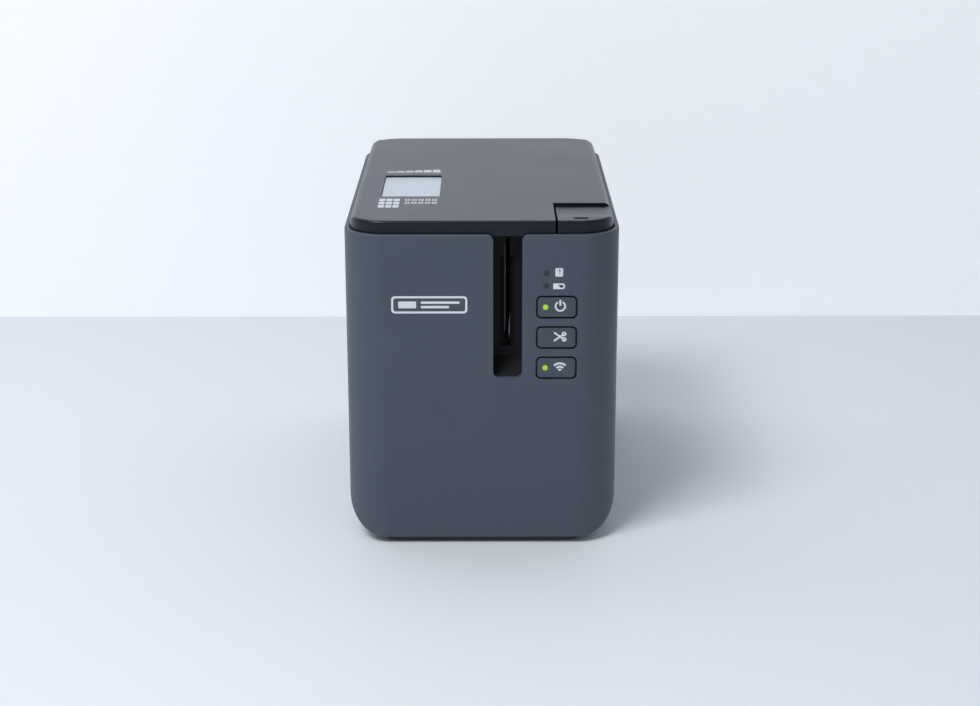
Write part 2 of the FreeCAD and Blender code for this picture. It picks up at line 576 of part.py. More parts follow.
def make_board_parts():
    """Packages and cans standing on the main board, with the socket of the key cable."""
    z, y = BOARD_TOP, BOARD_Y[0]
    chips = [box(-12.0, 12.0, y + 22.0, y + 46.0, z, z + 1.6),
             box(-36.0, -22.0, y + 30.0, y + 38.0, z, z + 1.4),
             box(20.0, 38.0, y + 24.0, y + 32.0, z, z + 1.4),
             box(20.0, 30.0, y + 40.0, y + 50.0, z, z + 4.0)]
    cans = [cyl_z(-36.0 + 11.0 * k, y + 52.0, z, z + 12.0, 4.0) for k in range(3)]
    cans = [round_edges(c, 0.6, lambda e: e.BoundBox.ZMin > z + 11.9) for c in cans]
    header = box(KEY_X - 5.0, KEY_X + 5.0, y + 1.5, y + 6.5, z, z + HEADER_HEIGHT)
    return group(*chips, *cans, header)


def socket_block(name, depth, opening, tongue=None):
    """Socket housing flush with the rear panel, with a rectangular mouth and an optional tongue in it."""
    x, w, h = connector_places()[name]
    z, y1 = BOARD_TOP, SOCKET_FACE
    ow, oh, od = opening
    cx, cz = x + w / 2, z + h / 2
    block = box(x, x + w, y1 - depth, y1, z, z + h)
    block = block.cut(box(cx - ow / 2, cx + ow / 2, y1 - od, y1 + 1.0, cz - oh / 2, cz + oh / 2))
    if tongue:
        tw, th, tz = tongue
        block = block.fuse(box(cx - tw / 2, cx + tw / 2, y1 - od, y1 - 1.0, cz + tz, cz + tz + th))
    return block


def make_dc_inlet():
    x, w, h = connector_places()["dc"]
    z, y1 = BOARD_TOP, SOCKET_FACE
    block = box(x, x + w, y1 - 14.0, y1, z, z + h)
    block = block.cut(cyl_y(x + w / 2, y1 - 10.0, y1 + 1.0, z + 6.2, 3.2))
    return block.fuse(cyl_y(x + w / 2, y1 - 10.0, y1 - 1.5, z + 6.2, 1.0))


def make_usb_sockets():
    return group(socket_block("usb_b", 16.0, (8.6, 7.9, 9.0), (5.6, 3.0, -1.5)),
                 socket_block("usb_a", 14.0, (12.6, 5.4, 9.0), (11.0, 1.6, 0.6)))


def make_lan_socket():
    return socket_block("lan", 18.0, (11.8, 8.2, 12.0))


def make_serial_socket():
    return socket_block("serial", 16.0, (9.8, 7.0, 11.0))


# ---------------------------------------------------------------- print mechanism
def make_mechanism_plate():
    x0, x1, y1 = POCKET[0] + 1.0, POCKET[1], POCKET[3]
    plate = prism(x0, x1, CUTTER_LEG_Y, y1, PLATE_TOP - PLATE_SKIN, PLATE_TOP, 2.0)
    x, y = plate_post_places()[0]
    ear = prism(x - 4.0, x + 4.0, y - 4.0, CUTTER_LEG_Y + 6.2, PLATE_TOP - PLATE_SKIN, PLATE_TOP, 2.0)
    plate = fuse(plate, ear)
    holes = [cyl_z(FEED_MOTOR[0], FEED_MOTOR[1], PLATE_TOP - 3.0, PLATE_TOP + 1.0, 6.0)]
    holes += [cyl_z(x, y, PLATE_TOP - 3.0, PLATE_TOP + 1.0, POST_RADIUS) for x, y in post_places()]
    holes += [cyl_z(x, y, PLATE_TOP - 3.0, PLATE_TOP + 1.0, SCREW_RADIUS) for x, y in plate_post_places()]
    return plate.cut(holes)


def post_places():
    return [TAPE_SPINDLE, RIBBON_SPINDLE, IDLER, HOLDER_PIN]


def make_pivot_pins():
    """Steel pins of the gears, the roller holder, the latch and the blade."""
    low = PLATE_TOP - PLATE_SKIN
    pins = [cyl_z(TAPE_SPINDLE[0], TAPE_SPINDLE[1], low, SPINDLE_PIN_TOP, POST_RADIUS),
            cyl_z(RIBBON_SPINDLE[0], RIBBON_SPINDLE[1], low, SPINDLE_PIN_TOP, POST_RADIUS),
            cyl_z(IDLER[0], IDLER[1], low, GEAR_HIGH + 0.6, POST_RADIUS),
            cyl_z(HOLDER_PIN[0], HOLDER_PIN[1], low, HOLDER_Z[1] + 1.1, POST_RADIUS),
            cyl_x(POCKET[1], LATCH_X + 17.2, LATCH_Y, LATCH_Z, POST_RADIUS),
            cyl_y(CUTTER_X, CUTTER_Y - 2 * BLADE_THICKNESS - 1.2, CUTTER_Y + CUTTER_SKIN, CUTTER_Z,
                  POST_RADIUS),
            cyl_y(CUTTER_X, CUTTER_Y + 4.0, CUTTER_LEG_Y, CUTTER_Z - LEVER, POST_RADIUS)]
    return group(*pins)


def place_gear(teeth, centre, turn):
    """Spur gear of the feed train, in its place over the mechanism plate."""
    gear = spur_gear(teeth, GEAR_WIDTH, turn)
    gear.translate(Vector(centre[0], centre[1], GEAR_LOW))
    return gear


def make_drive_idler():
    gear = place_gear(IDLER_TEETH, IDLER, IDLER_TURN)
    hub = cyl_z(IDLER[0], IDLER[1], PLATE_TOP + 0.4, GEAR_HIGH + 0.2, 4.0)
    web = cyl_z(IDLER[0], IDLER[1], GEAR_LOW + 2.8, GEAR_HIGH + 1.0, 13.0).cut(
        cyl_z(IDLER[0], IDLER[1], GEAR_LOW, GEAR_HIGH + 2.0, 6.0))
    return fuse(gear.cut(web), hub).cut(
        cyl_z(IDLER[0], IDLER[1], PLATE_TOP, GEAR_HIGH + 1.0, POST_RADIUS + RUN))


def make_spindle(centre, teeth, bearing):
    """Gear with a splined hollow spindle that stands up into the cassette."""
    x, y = centre
    roof = SPOOL_HIGH
    gear = place_gear(teeth, centre, mesh_turn(teeth, IDLER_TEETH, IDLER_TURN, bearing))
    tube = fuse(cyl_z(x, y, PLATE_TOP + 0.4, roof, 2.6), cyl_z(x, y, PLATE_TOP + 0.4, GEAR_LOW + 1.0, 4.0))
    keys = []
    for k in range(3):
        key = box(-0.4, 0.4, 0.0, 3.1, FLOOR + 3.0, roof - 1.0)
        key.rotate(Vector(0, 0, 0), Vector(0, 0, 1), 120.0 * k)
        key.translate(Vector(x, y, 0))
        keys.append(key)
    solid = fuse(gear, tube, *keys)
    return solid.cut(cyl_z(x, y, PLATE_TOP, SPINDLE_PIN_TOP + 1.0, POST_RADIUS + RUN))


def make_spooled(centre, radius, flange=0.0):
    """Drum on a spindle, keyed by a bore that clears the spindle's tube and meets its keys."""
    x, y = centre
    z0, z1 = TAPE_LOW, SPOOL_HIGH
    drum = cyl_z(x, y, z0, z1, radius)
    if flange:
        drum = fuse(drum, cyl_z(x, y, z0, z0 + 0.8, flange), cyl_z(x, y, z1 - 0.8, z1, flange))
    return drum.cut(cyl_z(x, y, z0 - 1.0, z1 + 1.0, 3.15))


def make_motor_pinion():
    x, y = FEED_MOTOR
    turn = mesh_turn(PINION_TEETH, IDLER_TEETH, IDLER_TURN, MOTOR_BEARING)
    return fuse(place_gear(PINION_TEETH, FEED_MOTOR, turn),
                cyl_z(x, y, PLATE_TOP - PLATE_SKIN - 6.0, GEAR_HIGH, MOTOR_SHAFT))


def make_feed_motor():
    x, y = FEED_MOTOR
    z1 = PLATE_TOP - PLATE_SKIN
    can = cyl_z(x, y, z1 - 22.0, z1, 17.5)
    can = round_edges(can, 1.0, lambda e: e.BoundBox.ZMax < z1 - 21.9)
    lug = prism(x - 25.0, x + 25.0, y - 3.5, y + 3.5, z1 - 0.8, z1, 3.4)
    boss = cyl_z(x, y, z1, z1 + 1.6, 5.0)
    return fuse(can, lug, boss).cut(cyl_z(x, y, z1 - 7.0, z1 + 3.0, MOTOR_SHAFT + RUN))


def make_print_head():
    return box(TAPE_X - 1.7, TAPE_X - TAPE_GAP / 2, HEAD_Y - 8.0, HEAD_Y + 8.0, TAPE_LOW, TAPE_HIGH)


def make_head_heat_sink():
    foot = box(TAPE_X - 10.0, TAPE_X + 0.6, HEAD_Y - 9.5, HEAD_Y + 9.5, FLOOR, FLOOR + 2.0)
    block = box(TAPE_X - 8.5, TAPE_X - 1.7, HEAD_Y - 7.0, HEAD_Y + 7.0, FLOOR, TAPE_HIGH + 1.0)
    fins = [box(TAPE_X - 9.0, TAPE_X - 5.0, HEAD_Y - 5.6 + 3.2 * k, HEAD_Y - 4.0 + 3.2 * k,
                FLOOR + 6.0, TAPE_HIGH + 2.0) for k in range(4)]
    return fuse(foot, block).cut(fins)


def make_roller_holder():
    """Swinging bracket that carries the platen and pressure rollers."""
    px, py = HOLDER_PIN
    z0, z1 = HOLDER_Z
    back = box(px - 1.0, px + 1.0, CASSETTE_Y + 0.5, py, z0, z1)
    arm_plan = box(TAPE_X + 1.9, px, CASSETTE_Y + 0.5, HEAD_Y + 5.0, z0, z1)
    arm = arm_plan.cut(box(0.0, px - 1.0, CASSETTE_Y - 1.0, HEAD_Y + 6.0, z0 + 1.8, z1 - 1.8))
    hub = cyl_z(px, py, z0, z1, 3.2)
    solid = fuse(back, arm, hub)
    holes = [cyl_z(px, py, z0 - 1.0, z1 + 1.0, POST_RADIUS + RUN),
             cyl_z(PLATEN_X, HEAD_Y, z0 - 1.0, z1 + 1.0, POST_RADIUS + RUN),
             cyl_z(PRESSURE_X, TAPE_SPINDLE[1], z0 - 1.0, z1 + 1.0, POST_RADIUS + RUN)]
    windows = [box(px - 2.0, px + 2.0, HEAD_Y - 12.0, HEAD_Y + 12.0, z0 + 8.0, z1 - 8.0)]
    return solid.cut(holes + windows)


def make_platen_roller():
    tyre = cyl_z(PLATEN_X, HEAD_Y, TAPE_LOW, TAPE_HIGH, PLATEN_RADIUS)
    return tyre.cut(cyl_z(PLATEN_X, HEAD_Y, TAPE_LOW - 1.0, TAPE_HIGH + 1.0, PLATEN_CORE))


def make_platen_shaft():
    return fuse(cyl_z(PLATEN_X, HEAD_Y, HOLDER_Z[0] + 2.0, HOLDER_Z[1] - 2.0, PLATEN_CORE),
                cyl_z(PLATEN_X, HEAD_Y, SHAFT_Z[0], SHAFT_Z[1], POST_RADIUS))


def make_pressure_roller():
    x, y = PRESSURE_X, TAPE_SPINDLE[1]
    return fuse(cyl_z(x, y, TAPE_LOW + 1.0, TAPE_HIGH - 1.0, DRIVE_ROLLER_RADIUS),
                cyl_z(x, y, SHAFT_Z[0], SHAFT_Z[1], POST_RADIUS))


# ---------------------------------------------------------------- cutter
def make_cutter_frame():
    """Z-bent plate: its upper leg holds the blades, and its lower leg the cam gear and the cutter motor."""
    y0, y1 = CUTTER_Y, CUTTER_Y + CUTTER_SKIN
    yr = CUTTER_LEG_Y
    upper = box(TAPE_X - 12.0, TAPE_X + 20.0, y0, y1, PLATE_TOP - 1.5, DECK - 3.0)
    upper = upper.cut(box(TAPE_X - 1.8, TAPE_X + 1.8, y0 - 1.0, y1 + 1.0, FLOOR + 1.0, DECK))
    web = box(TAPE_X - 12.0, TAPE_X + 20.0, y0, yr, PLATE_TOP - 1.5, PLATE_TOP)
    lower = box(TAPE_X - 30.0, TAPE_X + 20.0, yr - CUTTER_SKIN, yr, CUTTER_Z - LEVER - 12.0, PLATE_TOP)
    solid = fuse(upper, web, lower)
    mx, mz = cutter_motor_place()
    holes = [cyl_y(CUTTER_X, y0 - 1.0, y1 + 1.0, CUTTER_Z, POST_RADIUS),
             cyl_y(CUTTER_X, yr - 3.0, yr + 1.0, CUTTER_Z - LEVER, POST_RADIUS),
             cyl_y(mx, yr - 3.0, yr + 1.0, mz, 3.0),
             box(TAPE_X - 8.0, TAPE_X + 8.0, y0 - 1.0, y0 + 5.0, PLATE_TOP - 3.0, PLATE_TOP + 1.0)]
    return solid.cut(holes)


def cutter_motor_place():
    return (CUTTER_X - pitch_radius(CAM_TEETH) - pitch_radius(PINION_TEETH), CUTTER_Z - LEVER)


def make_fixed_blade():
    y1, edge, low = CUTTER_Y, TAPE_X - 0.9, FLOOR - 5.0
    blade = box(TAPE_X - 8.0, edge, y1 - BLADE_THICKNESS, y1, FLOOR - 1.0, DECK - 3.5)
    ground = Part.Face(Part.makePolygon([
        Vector(edge, y1, low), Vector(edge - 1.2, y1, low), Vector(edge, y1 - 0.9, low),
        Vector(edge, y1, low)]))
    return blade.cut(ground.extrude(Vector(0, 0, DECK - low)))


def blade_swing():
    """Lever angle at each end of the crank's swing, in degrees."""
    a = math.radians(CUT_ANGLE)
    return math.degrees(math.atan2(CRANK_RADIUS * math.sin(a), LEVER - CRANK_RADIUS * math.cos(a)))


def make_moving_blade():
    """Blade lever, drawn in the middle of its swing and then turned to its open end."""
    y1 = CUTTER_Y - BLADE_THICKNESS - 0.05
    y0 = y1 - BLADE_THICKNESS
    pivot = Vector(CUTTER_X, y0, CUTTER_Z)
    blade = box(CUTTER_X - 1.6, CUTTER_X + 5.5, y0, y1, CUTTER_Z, CUTTER_Z + 49.0)
    blade.rotate(pivot, Vector(0, 1, 0), BLADE_TILT - blade_swing())
    tail = box(CUTTER_X - 3.6, CUTTER_X + 3.6, y0, y1, CUTTER_Z - LEVER + CRANK_RADIUS - 3.6, CUTTER_Z)
    solid = fuse(blade, tail, cyl_y(CUTTER_X, y0, y1, CUTTER_Z, 5.0))
    pin_low = CUTTER_Z - LEVER + CRANK_RADIUS * math.cos(math.radians(CUT_ANGLE)) - 1.0
    slot = box(CUTTER_X - 1.9, CUTTER_X + 1.9, y0 - 1.0, y1 + 1.0, pin_low - 6.0,
               CUTTER_Z - LEVER + CRANK_RADIUS + 2.2)
    solid = solid.cut([slot, cyl_y(CUTTER_X, y0 - 1.0, y1 + 1.0, CUTTER_Z, POST_RADIUS + RUN)])
    solid.rotate(pivot, Vector(0, 1, 0), blade_swing())
    return solid


def cam_crank_place():
    a = math.radians(CUT_ANGLE)
    return (CUTTER_X - CRANK_RADIUS * math.sin(a), CUTTER_Z - LEVER + CRANK_RADIUS * math.cos(a))


def upright_gear(teeth, x, z, y0, turn):
    """Gear whose axis runs along Y. Its turn is counted from +X towards +Z."""
    gear = spur_gear(teeth, GEAR_WIDTH, turn)
    gear.rotate(Vector(0, 0, 0), Vector(1, 0, 0), 90.0)
    gear.translate(Vector(x, y0 + GEAR_WIDTH, z))
    return gear


def make_cam_gear():
    z = CUTTER_Z - LEVER
    y0 = CAM_Y
    gear = upright_gear(CAM_TEETH, CUTTER_X, z, y0, 0.0)
    px, pz = cam_crank_place()
    pin = cyl_y(px, CUTTER_Y - 2 * BLADE_THICKNESS - 0.8, y0 + 1.0, pz, 1.5)
    hub = cyl_y(CUTTER_X, y0, FRONT + 34.0, z, 3.5)
    return fuse(gear, pin, hub).cut(cyl_y(CUTTER_X, y0 - 1.0, FRONT + 35.0, z, POST_RADIUS + RUN))


def make_cutter_pinion():
    x, z = cutter_motor_place()
    y0 = CAM_Y
    gear = upright_gear(PINION_TEETH, x, z, y0, mesh_turn(PINION_TEETH, CAM_TEETH, 0.0, 180.0))
    return fuse(gear, cyl_y(x, y0, CUTTER_LEG_Y + 6.2, z, CUTTER_SHAFT))


def make_cutter_motor():
    x, z = cutter_motor_place()
    y0 = CUTTER_LEG_Y
    can = cyl_y(x, y0, y0 + 26.0, z, 10.0)
    can = round_edges(can, 0.8, lambda e: e.BoundBox.YMin > y0 + 25.9)
    cap = cyl_y(x, y0 + 26.0, y0 + 28.0, z, 4.0)
    return fuse(can, cap).cut(cyl_y(x, y0 - 1.0, y0 + 8.0, z, CUTTER_SHAFT + RUN))


# ---------------------------------------------------------------- tape cassette
TAPE_ROLL = (CASSETTE_X + 23.0, CASSETTE_Y + 60.0, 20.0)
RIBBON_ROLL = (CASSETTE_X + 51.5, CASSETTE_Y + 68.0, 8.0)
ROLL_CORE = 4.0


def cassette_form(inset, z0, z1):
    """The cassette's outline, taken in by an inset."""
    return prism(CASSETTE_X + inset, CASSETTE_X + CASSETTE_WIDTH - inset, CASSETTE_Y + inset,
                 CASSETTE_Y + CASSETTE_LENGTH - inset, z0, z1, 4.0 - inset)


def head_opening(inset):
    return box(TAPE_X - 10.5 - inset, TAPE_X + 3.0, HEAD_Y - 11.0 - inset, HEAD_Y + 11.0 + inset,
               FLOOR - 1.0, CASSETTE_TOP + 1.0)


def exit_corner(x0, z0, z1):
    """Block over the cassette's exit corner, from x0 to beyond its side."""
    return box(x0, TAPE_X + 3.0, CASSETTE_Y - 1.0, CASSETTE_Y + 12.5, z0, z1)


def tape_exit():
    return exit_corner(TAPE_X - 0.6, FLOOR + 2.0, CASSETTE_TOP - 2.0)


def roller_mouth():
    """Opening in the cassette's exit corner, for the pressure roller."""
    return exit_corner(TAPE_X - 0.1, FLOOR - 1.0, CASSETTE_TOP + 1.0)


def make_cassette_case():
    solid = cassette_form(0.0, FLOOR, CASSETTE_SPLIT)
    hollow = cassette_form(CASSETTE_WALL, FLOOR + CASSETTE_WALL, CASSETTE_SPLIT + 1.0)
    hollow = hollow.cut(head_opening(CASSETTE_WALL))
    posts = [cyl_z(x, y, FLOOR, CASSETTE_SPLIT - 1.0, ROLL_CORE) for x, y, r in (TAPE_ROLL, RIBBON_ROLL)]
    solid = solid.cut([hollow, head_opening(0.0)]).multiFuse(posts)
    tools = [roller_mouth(), tape_exit()]
    tools += [cyl_z(x, y, FLOOR - 1.0, FLOOR + 3.0, 3.6) for x, y in (TAPE_SPINDLE, RIBBON_SPINDLE)]
    return solid.cut(tools).removeSplitter()


def make_cassette_lid():
    solid = cassette_form(0.0, CASSETTE_SPLIT, CASSETTE_TOP)
    hollow = cassette_form(CASSETTE_WALL, CASSETTE_SPLIT - 1.0, CASSETTE_TOP - CASSETTE_WALL)
    hollow = hollow.cut(head_opening(CASSETTE_WALL))
    solid = solid.cut([hollow, head_opening(0.0), roller_mouth(), tape_exit()])
    return round_edges(solid, 0.4, lambda e: e.BoundBox.ZMin > CASSETTE_TOP - TINY
                       and e.BoundBox.XMax < TAPE_X - 12.0)


def make_cassette_label():
    return prism(CASSETTE_X + 4.0, CASSETTE_X + 42.0, CASSETTE_Y + 4.0, CASSETTE_Y + CASSETTE_LENGTH - 8.0,
                 CASSETTE_TOP, CASSETTE_TOP + 0.15, 2.0)


def make_roll(x, y, radius):
    """Roll that turns on a post of the cassette's case."""
    low = FLOOR + CASSETTE_WALL + GAP
    roll = cyl_z(x, y, low, low + SPOOL_LENGTH, radius)
    return roll.cut(cyl_z(x, y, low - 1.0, low + SPOOL_LENGTH + 1.0, ROLL_CORE + RUN))


# ---------------------------------------------------------------- top cover
def cover_form(inset, z0, z1):
    c = COVER_INSET + inset
    return prism(-HALF + c, HALF - c, FRONT + c, REAR - inset, z0, z1, PLAN_RADIUS - c)


def button_notch(extra, z0, z1):
    return box(BUTTON_X - extra, HALF + 5.0, FRONT - 5.0, BUTTON_Y + extra, z0, z1)


def window_block(grow, z0, z1, radius):
    return prism(WINDOW_X - grow, WINDOW_X + WINDOW_WIDTH + grow, WINDOW_Y - grow,
                 WINDOW_Y + WINDOW_LENGTH + grow, z0, z1, radius)


def capped_form(z0):
    """Cover outline with its top edge rounded, and rounded more along the sides."""
    form = round_edges(cover_form(0.0, z0, TOP), COVER_EDGE, lambda e: e.BoundBox.ZMin > TOP - TINY)
    c = COVER_INSET
    tunnel = round_edges(box(-HALF + c, HALF - c, FRONT, REAR, z0, TOP), COVER_SIDE_EDGE,
                         lambda e: runs_along(e, 1) and e.Vertexes[0].Z > TOP - TINY)
    return form.common(tunnel)


def make_top_cover():
    skin = 1.8
    front = capped_form(RIM + GAP).common(box(-HALF, HALF, FRONT, HINGE_Y, 0.0, TOP + 1.0))
    c = COVER_INSET
    skirt = prism(-HALF + c, HALF - c, FRONT + c, REAR - c, SKIRT, RIM + GAP, PLAN_RADIUS - c)
    skirt = skirt.common(box(-HALF, HALF, FRONT, HINGE_Y, 0.0, TOP))
    barrel = cyl_x(-HALF, HALF, HINGE_Y, HINGE_Z, HINGE_RADIUS).common(
        cover_form(0.0, HINGE_Z - HINGE_RADIUS - 1.0, TOP + 1.0))
    rear = capped_form(HINGE_Z).common(box(-HALF, HALF, HINGE_Y, REAR, HINGE_Z, TOP))
    solid = fuse(front, skirt, barrel, rear)
    hollow = cover_form(skin, SKIRT - 1.0, TOP - COVER_SKIN).common(
        box(-HALF, HALF, FRONT, HINGE_Y - HINGE_RADIUS - 0.6, 0.0, TOP))
    hollow = hollow.cut(button_notch(skin, 0.0, TOP))
    tools = [hollow, button_notch(0.0, SKIRT - 5.0, TOP + 5.0), window_block(0.0, TOP - 5.0, TOP + 1.0, 1.0)]
    reach = EAR_RADIUS + 0.4
    for x in EAR_X:
        x0, x1 = x - GAP, x + EAR_WIDTH + GAP
        tools.append(cyl_x(x0, x1, HINGE_Y, HINGE_Z, reach))
        tools.append(box(x0, x1, HINGE_Y - reach, REAR + 1.0, HINGE_Z - HINGE_RADIUS - 1.0, HINGE_Z + reach))
    tools += [cyl_x(x, x + HINGE_PIN_LENGTH, HINGE_Y, HINGE_Z, POST_RADIUS) for x in HINGE_PIN_X]
    return solid.cut(tools).removeSplitter()


def make_cover_window():
    pane = window_block(-0.15, TOP - COVER_SKIN, TOP - 0.8, 0.85)
    return fuse(pane, window_block(1.2, TOP - COVER_SKIN - 0.8, TOP - COVER_SKIN, 1.5))


def cover_screw_places():
    return [(-HALF + 10.0, FRONT + 14.0), (BUTTON_X - 9.0, FRONT + 14.0), (-HALF + 10.0, REAR - 20.0),
            (HALF - 10.0, REAR - 20.0)]


def make_cover_liner():
    z0, z1 = LINER_LOW, TOP - COVER_SKIN
    plate = prism(-HALF + 4.5, HALF - 4.5, FRONT + 4.5, REAR - 13.0, z0, z1, PLAN_RADIUS - 4.5)
    ribs = [box(CASSETTE_X + 4.0, CASSETTE_X + 40.0, CASSETTE_Y + CASSETTE_LENGTH - 7.0,
                CASSETTE_Y + CASSETTE_LENGTH - 5.0, CASSETTE_TOP + 0.4, z1),
            box(CASSETTE_X + 47.0, CASSETTE_X + 49.0, CASSETTE_Y + 10.0, CASSETTE_Y + 70.0,
                CASSETTE_TOP + 0.4, z1)]
    ribs += [cyl_z(x, y, z0 - 0.1, z1, 3.0) for x, y in cover_screw_places()]
    solid = fuse(plate, *ribs)
    tools = [button_notch(2.1, 0.0, TOP), window_block(1.6, 0.0, TOP, 1.6)]
    tools += [cyl_z(x, y, z0 - 2.0, z1 + 1.0, SCREW_RADIUS) for x, y in cover_screw_places()]
    return solid.cut(tools)


def make_cover_catch():
    z1 = LINER_LOW
    plate = box(LATCH_X - 1.3, LATCH_X + 4.3, BUTTON_Y + 2.4, BUTTON_Y + 3.8, DECK - 11.0, z1)
    foot = box(LATCH_X - 1.3, LATCH_X + 4.3, BUTTON_Y + 2.4, BUTTON_Y + 10.0, z1 - 1.2, z1)
    eye = box(LATCH_X - 0.4, LATCH_X + 3.4, BUTTON_Y, BUTTON_Y + 5.0, DECK - 8.3, DECK - 3.7)
    return fuse(plate, foot).cut(eye)


def make_hinge_pins():
    return group(*[cyl_x(x, x + HINGE_PIN_LENGTH, HINGE_Y, HINGE_Z, POST_RADIUS) for x in HINGE_PIN_X])


def make_cover_screws():
    z = TOP - COVER_SKIN - 1.5
    return group(*[screw(x, y, z, 1.45, down=False) for x, y in cover_screw_places()])


# ---------------------------------------------------------------- cover release
def make_release_button():
    skin = 1.6
    left, rear = BUTTON_X + BUTTON_GAP, BUTTON_Y - BUTTON_GAP
    outer = capped_form(SKIRT).common(box(left, HALF, FRONT, rear, 0.0, TOP + 1.0))
    hollow = cover_form(skin, 0.0, TOP - 2.4).common(box(left + skin, HALF, FRONT, rear - skin, 0.0, TOP))
    solid = outer.cut(hollow)
    stems = [box(x, x + 2.5, y, y + 2.5, DECK - 5.0, TOP - 2.0) for x, y in button_guides()]
    foot = box(LATCH_X + 9.0, LATCH_X + 12.0, LATCH_Y - 10.5, LATCH_Y - 7.5, LATCH_Z + 1.8, TOP - 2.0)
    solid = solid.multiFuse(stems + [foot])
    dish_depth, dish_reach = 1.3, 24.0
    dish_radius = dish_reach ** 2 / (2 * dish_depth)
    dish = cyl_x(BUTTON_X - 5.0, HALF + 5.0, BUTTON_Y - 3.5, TOP - dish_depth + dish_radius, dish_radius)
    mark = prism(BUTTON_X + 7.6, BUTTON_X + 13.2, FRONT + 8.2, FRONT + 9.2, TOP - 0.4, TOP + 1.0, 0.4)
    return solid.cut([dish, mark]).removeSplitter()


def make_release_spring():
    return coil_spring(BUTTON_X + 11.0, FRONT + 12.0, DECK, TOP - 2.4, 3.0, 0.35, 5)


def make_latch_lever():
    """Hook and press arm on one tube. The press arm lies under the release button's foot."""
    tube = cyl_x(LATCH_X, LATCH_X + 12.5, LATCH_Y, LATCH_Z, 3.0)
    hook = box(LATCH_X, LATCH_X + 3.0, LATCH_Y - 1.2, LATCH_Y + 1.2, LATCH_Z, DECK - 4.5)
    nose = Part.Face(Part.makePolygon([
        Vector(LATCH_X, LATCH_Y, DECK - 7.5), Vector(LATCH_X, LATCH_Y + 5.8, DECK - 7.5),
        Vector(LATCH_X, LATCH_Y + 5.8, DECK - 6.5), Vector(LATCH_X, LATCH_Y, DECK - 4.5),
        Vector(LATCH_X, LATCH_Y, DECK - 7.5)])).extrude(Vector(3.0, 0, 0))
    arm = box(LATCH_X + 8.5, LATCH_X + 12.5, LATCH_Y - 11.0, LATCH_Y, LATCH_Z - 1.5, LATCH_Z + 1.5)
    return fuse(tube, hook, nose, arm).cut(
        cyl_x(LATCH_X - 1.0, LATCH_X + 14.0, LATCH_Y, LATCH_Z, POST_RADIUS + RUN))


def make_case_screws():
    screws = [screw(x, y, DECK, 9.0) for x, y in boss_places()]
    screws += [screw(x, y, FOOT_HEIGHT + SCREW_HEAD, 7.0, down=False) for x, y in base_screw_places()]
    screws += [screw(x, y, BOARD_Z + BOARD_SKIN, 6.0) for x, y in board_screw_places()]
    screws += [screw(x, y, PLATE_TOP - PLATE_SKIN, 6.5, down=False) for x, y in plate_post_places()]
    return group(*screws)


PARTS = {
    "body_shell": make_body_shell,
    "base_plate": make_base_plate,
    "rubber_feet": make_rubber_feet,
    "case_screws": make_case_screws,
    "rear_panel": make_rear_panel,
    "cassette_bay": make_cassette_bay,
    "exit_chute": make_exit_chute,
    "power_button": lambda: make_key(0),
    "cut_button": lambda: make_key(1),
    "wireless_button": lambda: make_key(2),
    "power_lens": lambda: make_lens(0),
    "wireless_lens": lambda: make_lens(2),
    "status_lenses": make_status_lenses,
    "key_board": make_key_board,
    "key_board_posts": lambda: group(*make_key_board_posts()),
    "key_switches": make_key_switches,
    "indicator_lamps": make_indicator_lamps,
    "key_cable": make_key_cable,
    "main_board": make_main_board,
    "board_parts": make_board_parts,
    "dc_inlet": make_dc_inlet,
    "usb_sockets": make_usb_sockets,
    "lan_socket": make_lan_socket,
    "serial_socket": make_serial_socket,
    "mechanism_plate": make_mechanism_plate,
    "pivot_pins": make_pivot_pins,
    "drive_idler": make_drive_idler,
    "tape_drive_spindle": lambda: make_spindle(TAPE_SPINDLE, TAPE_GEAR_TEETH, TAPE_BEARING),
    "ribbon_drive_spindle": lambda: make_spindle(RIBBON_SPINDLE, RIBBON_GEAR_TEETH, RIBBON_BEARING),
    "motor_pinion": make_motor_pinion,
    "feed_motor": make_feed_motor,
    "print_head": make_print_head,
    "head_heat_sink": make_head_heat_sink,
    "roller_holder": make_roller_holder,
    "platen_roller": make_platen_roller,
    "platen_shaft": make_platen_shaft,
    "pressure_roller": make_pressure_roller,
    "cutter_frame": make_cutter_frame,
    "fixed_blade": make_fixed_blade,
    "moving_blade": make_moving_blade,
    "cutter_cam_gear": make_cam_gear,
    "cutter_pinion": make_cutter_pinion,
    "cutter_motor": make_cutter_motor,
    "cassette_case": make_cassette_case,
    "cassette_lid": make_cassette_lid,
    "cassette_label": make_cassette_label,
    "cassette_drive_roller": lambda: make_spooled(TAPE_SPINDLE, DRIVE_ROLLER_RADIUS),
    "ribbon_takeup_spool": lambda: make_spooled(RIBBON_SPINDLE, 6.0, 9.0),
    "tape_roll": lambda: make_roll(*TAPE_ROLL),
    "ribbon_supply_roll": lambda: make_roll(*RIBBON_ROLL),
    "top_cover": make_top_cover,
    "cover_window": make_cover_window,
    "cover_liner": make_cover_liner,
    "cover_catch": make_cover_catch,
    "hinge_pins": make_hinge_pins,
    "cover_screws": make_cover_screws,
    "release_button": make_release_button,
    "release_spring": make_release_spring,
    "latch_lever": make_latch_lever,
}


def main():
    os.makedirs("parts", exist_ok=True)
    for name, make in PARTS.items():
        shape = make()
        if not shape.isValid() or shape.Volume <= 0:
            print("bad shape:", name)
        shape.exportStep(os.path.join("parts", name + ".step"))


main()
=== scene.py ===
import math

import bmesh
import bpy
from mathutils import Matrix, Vector


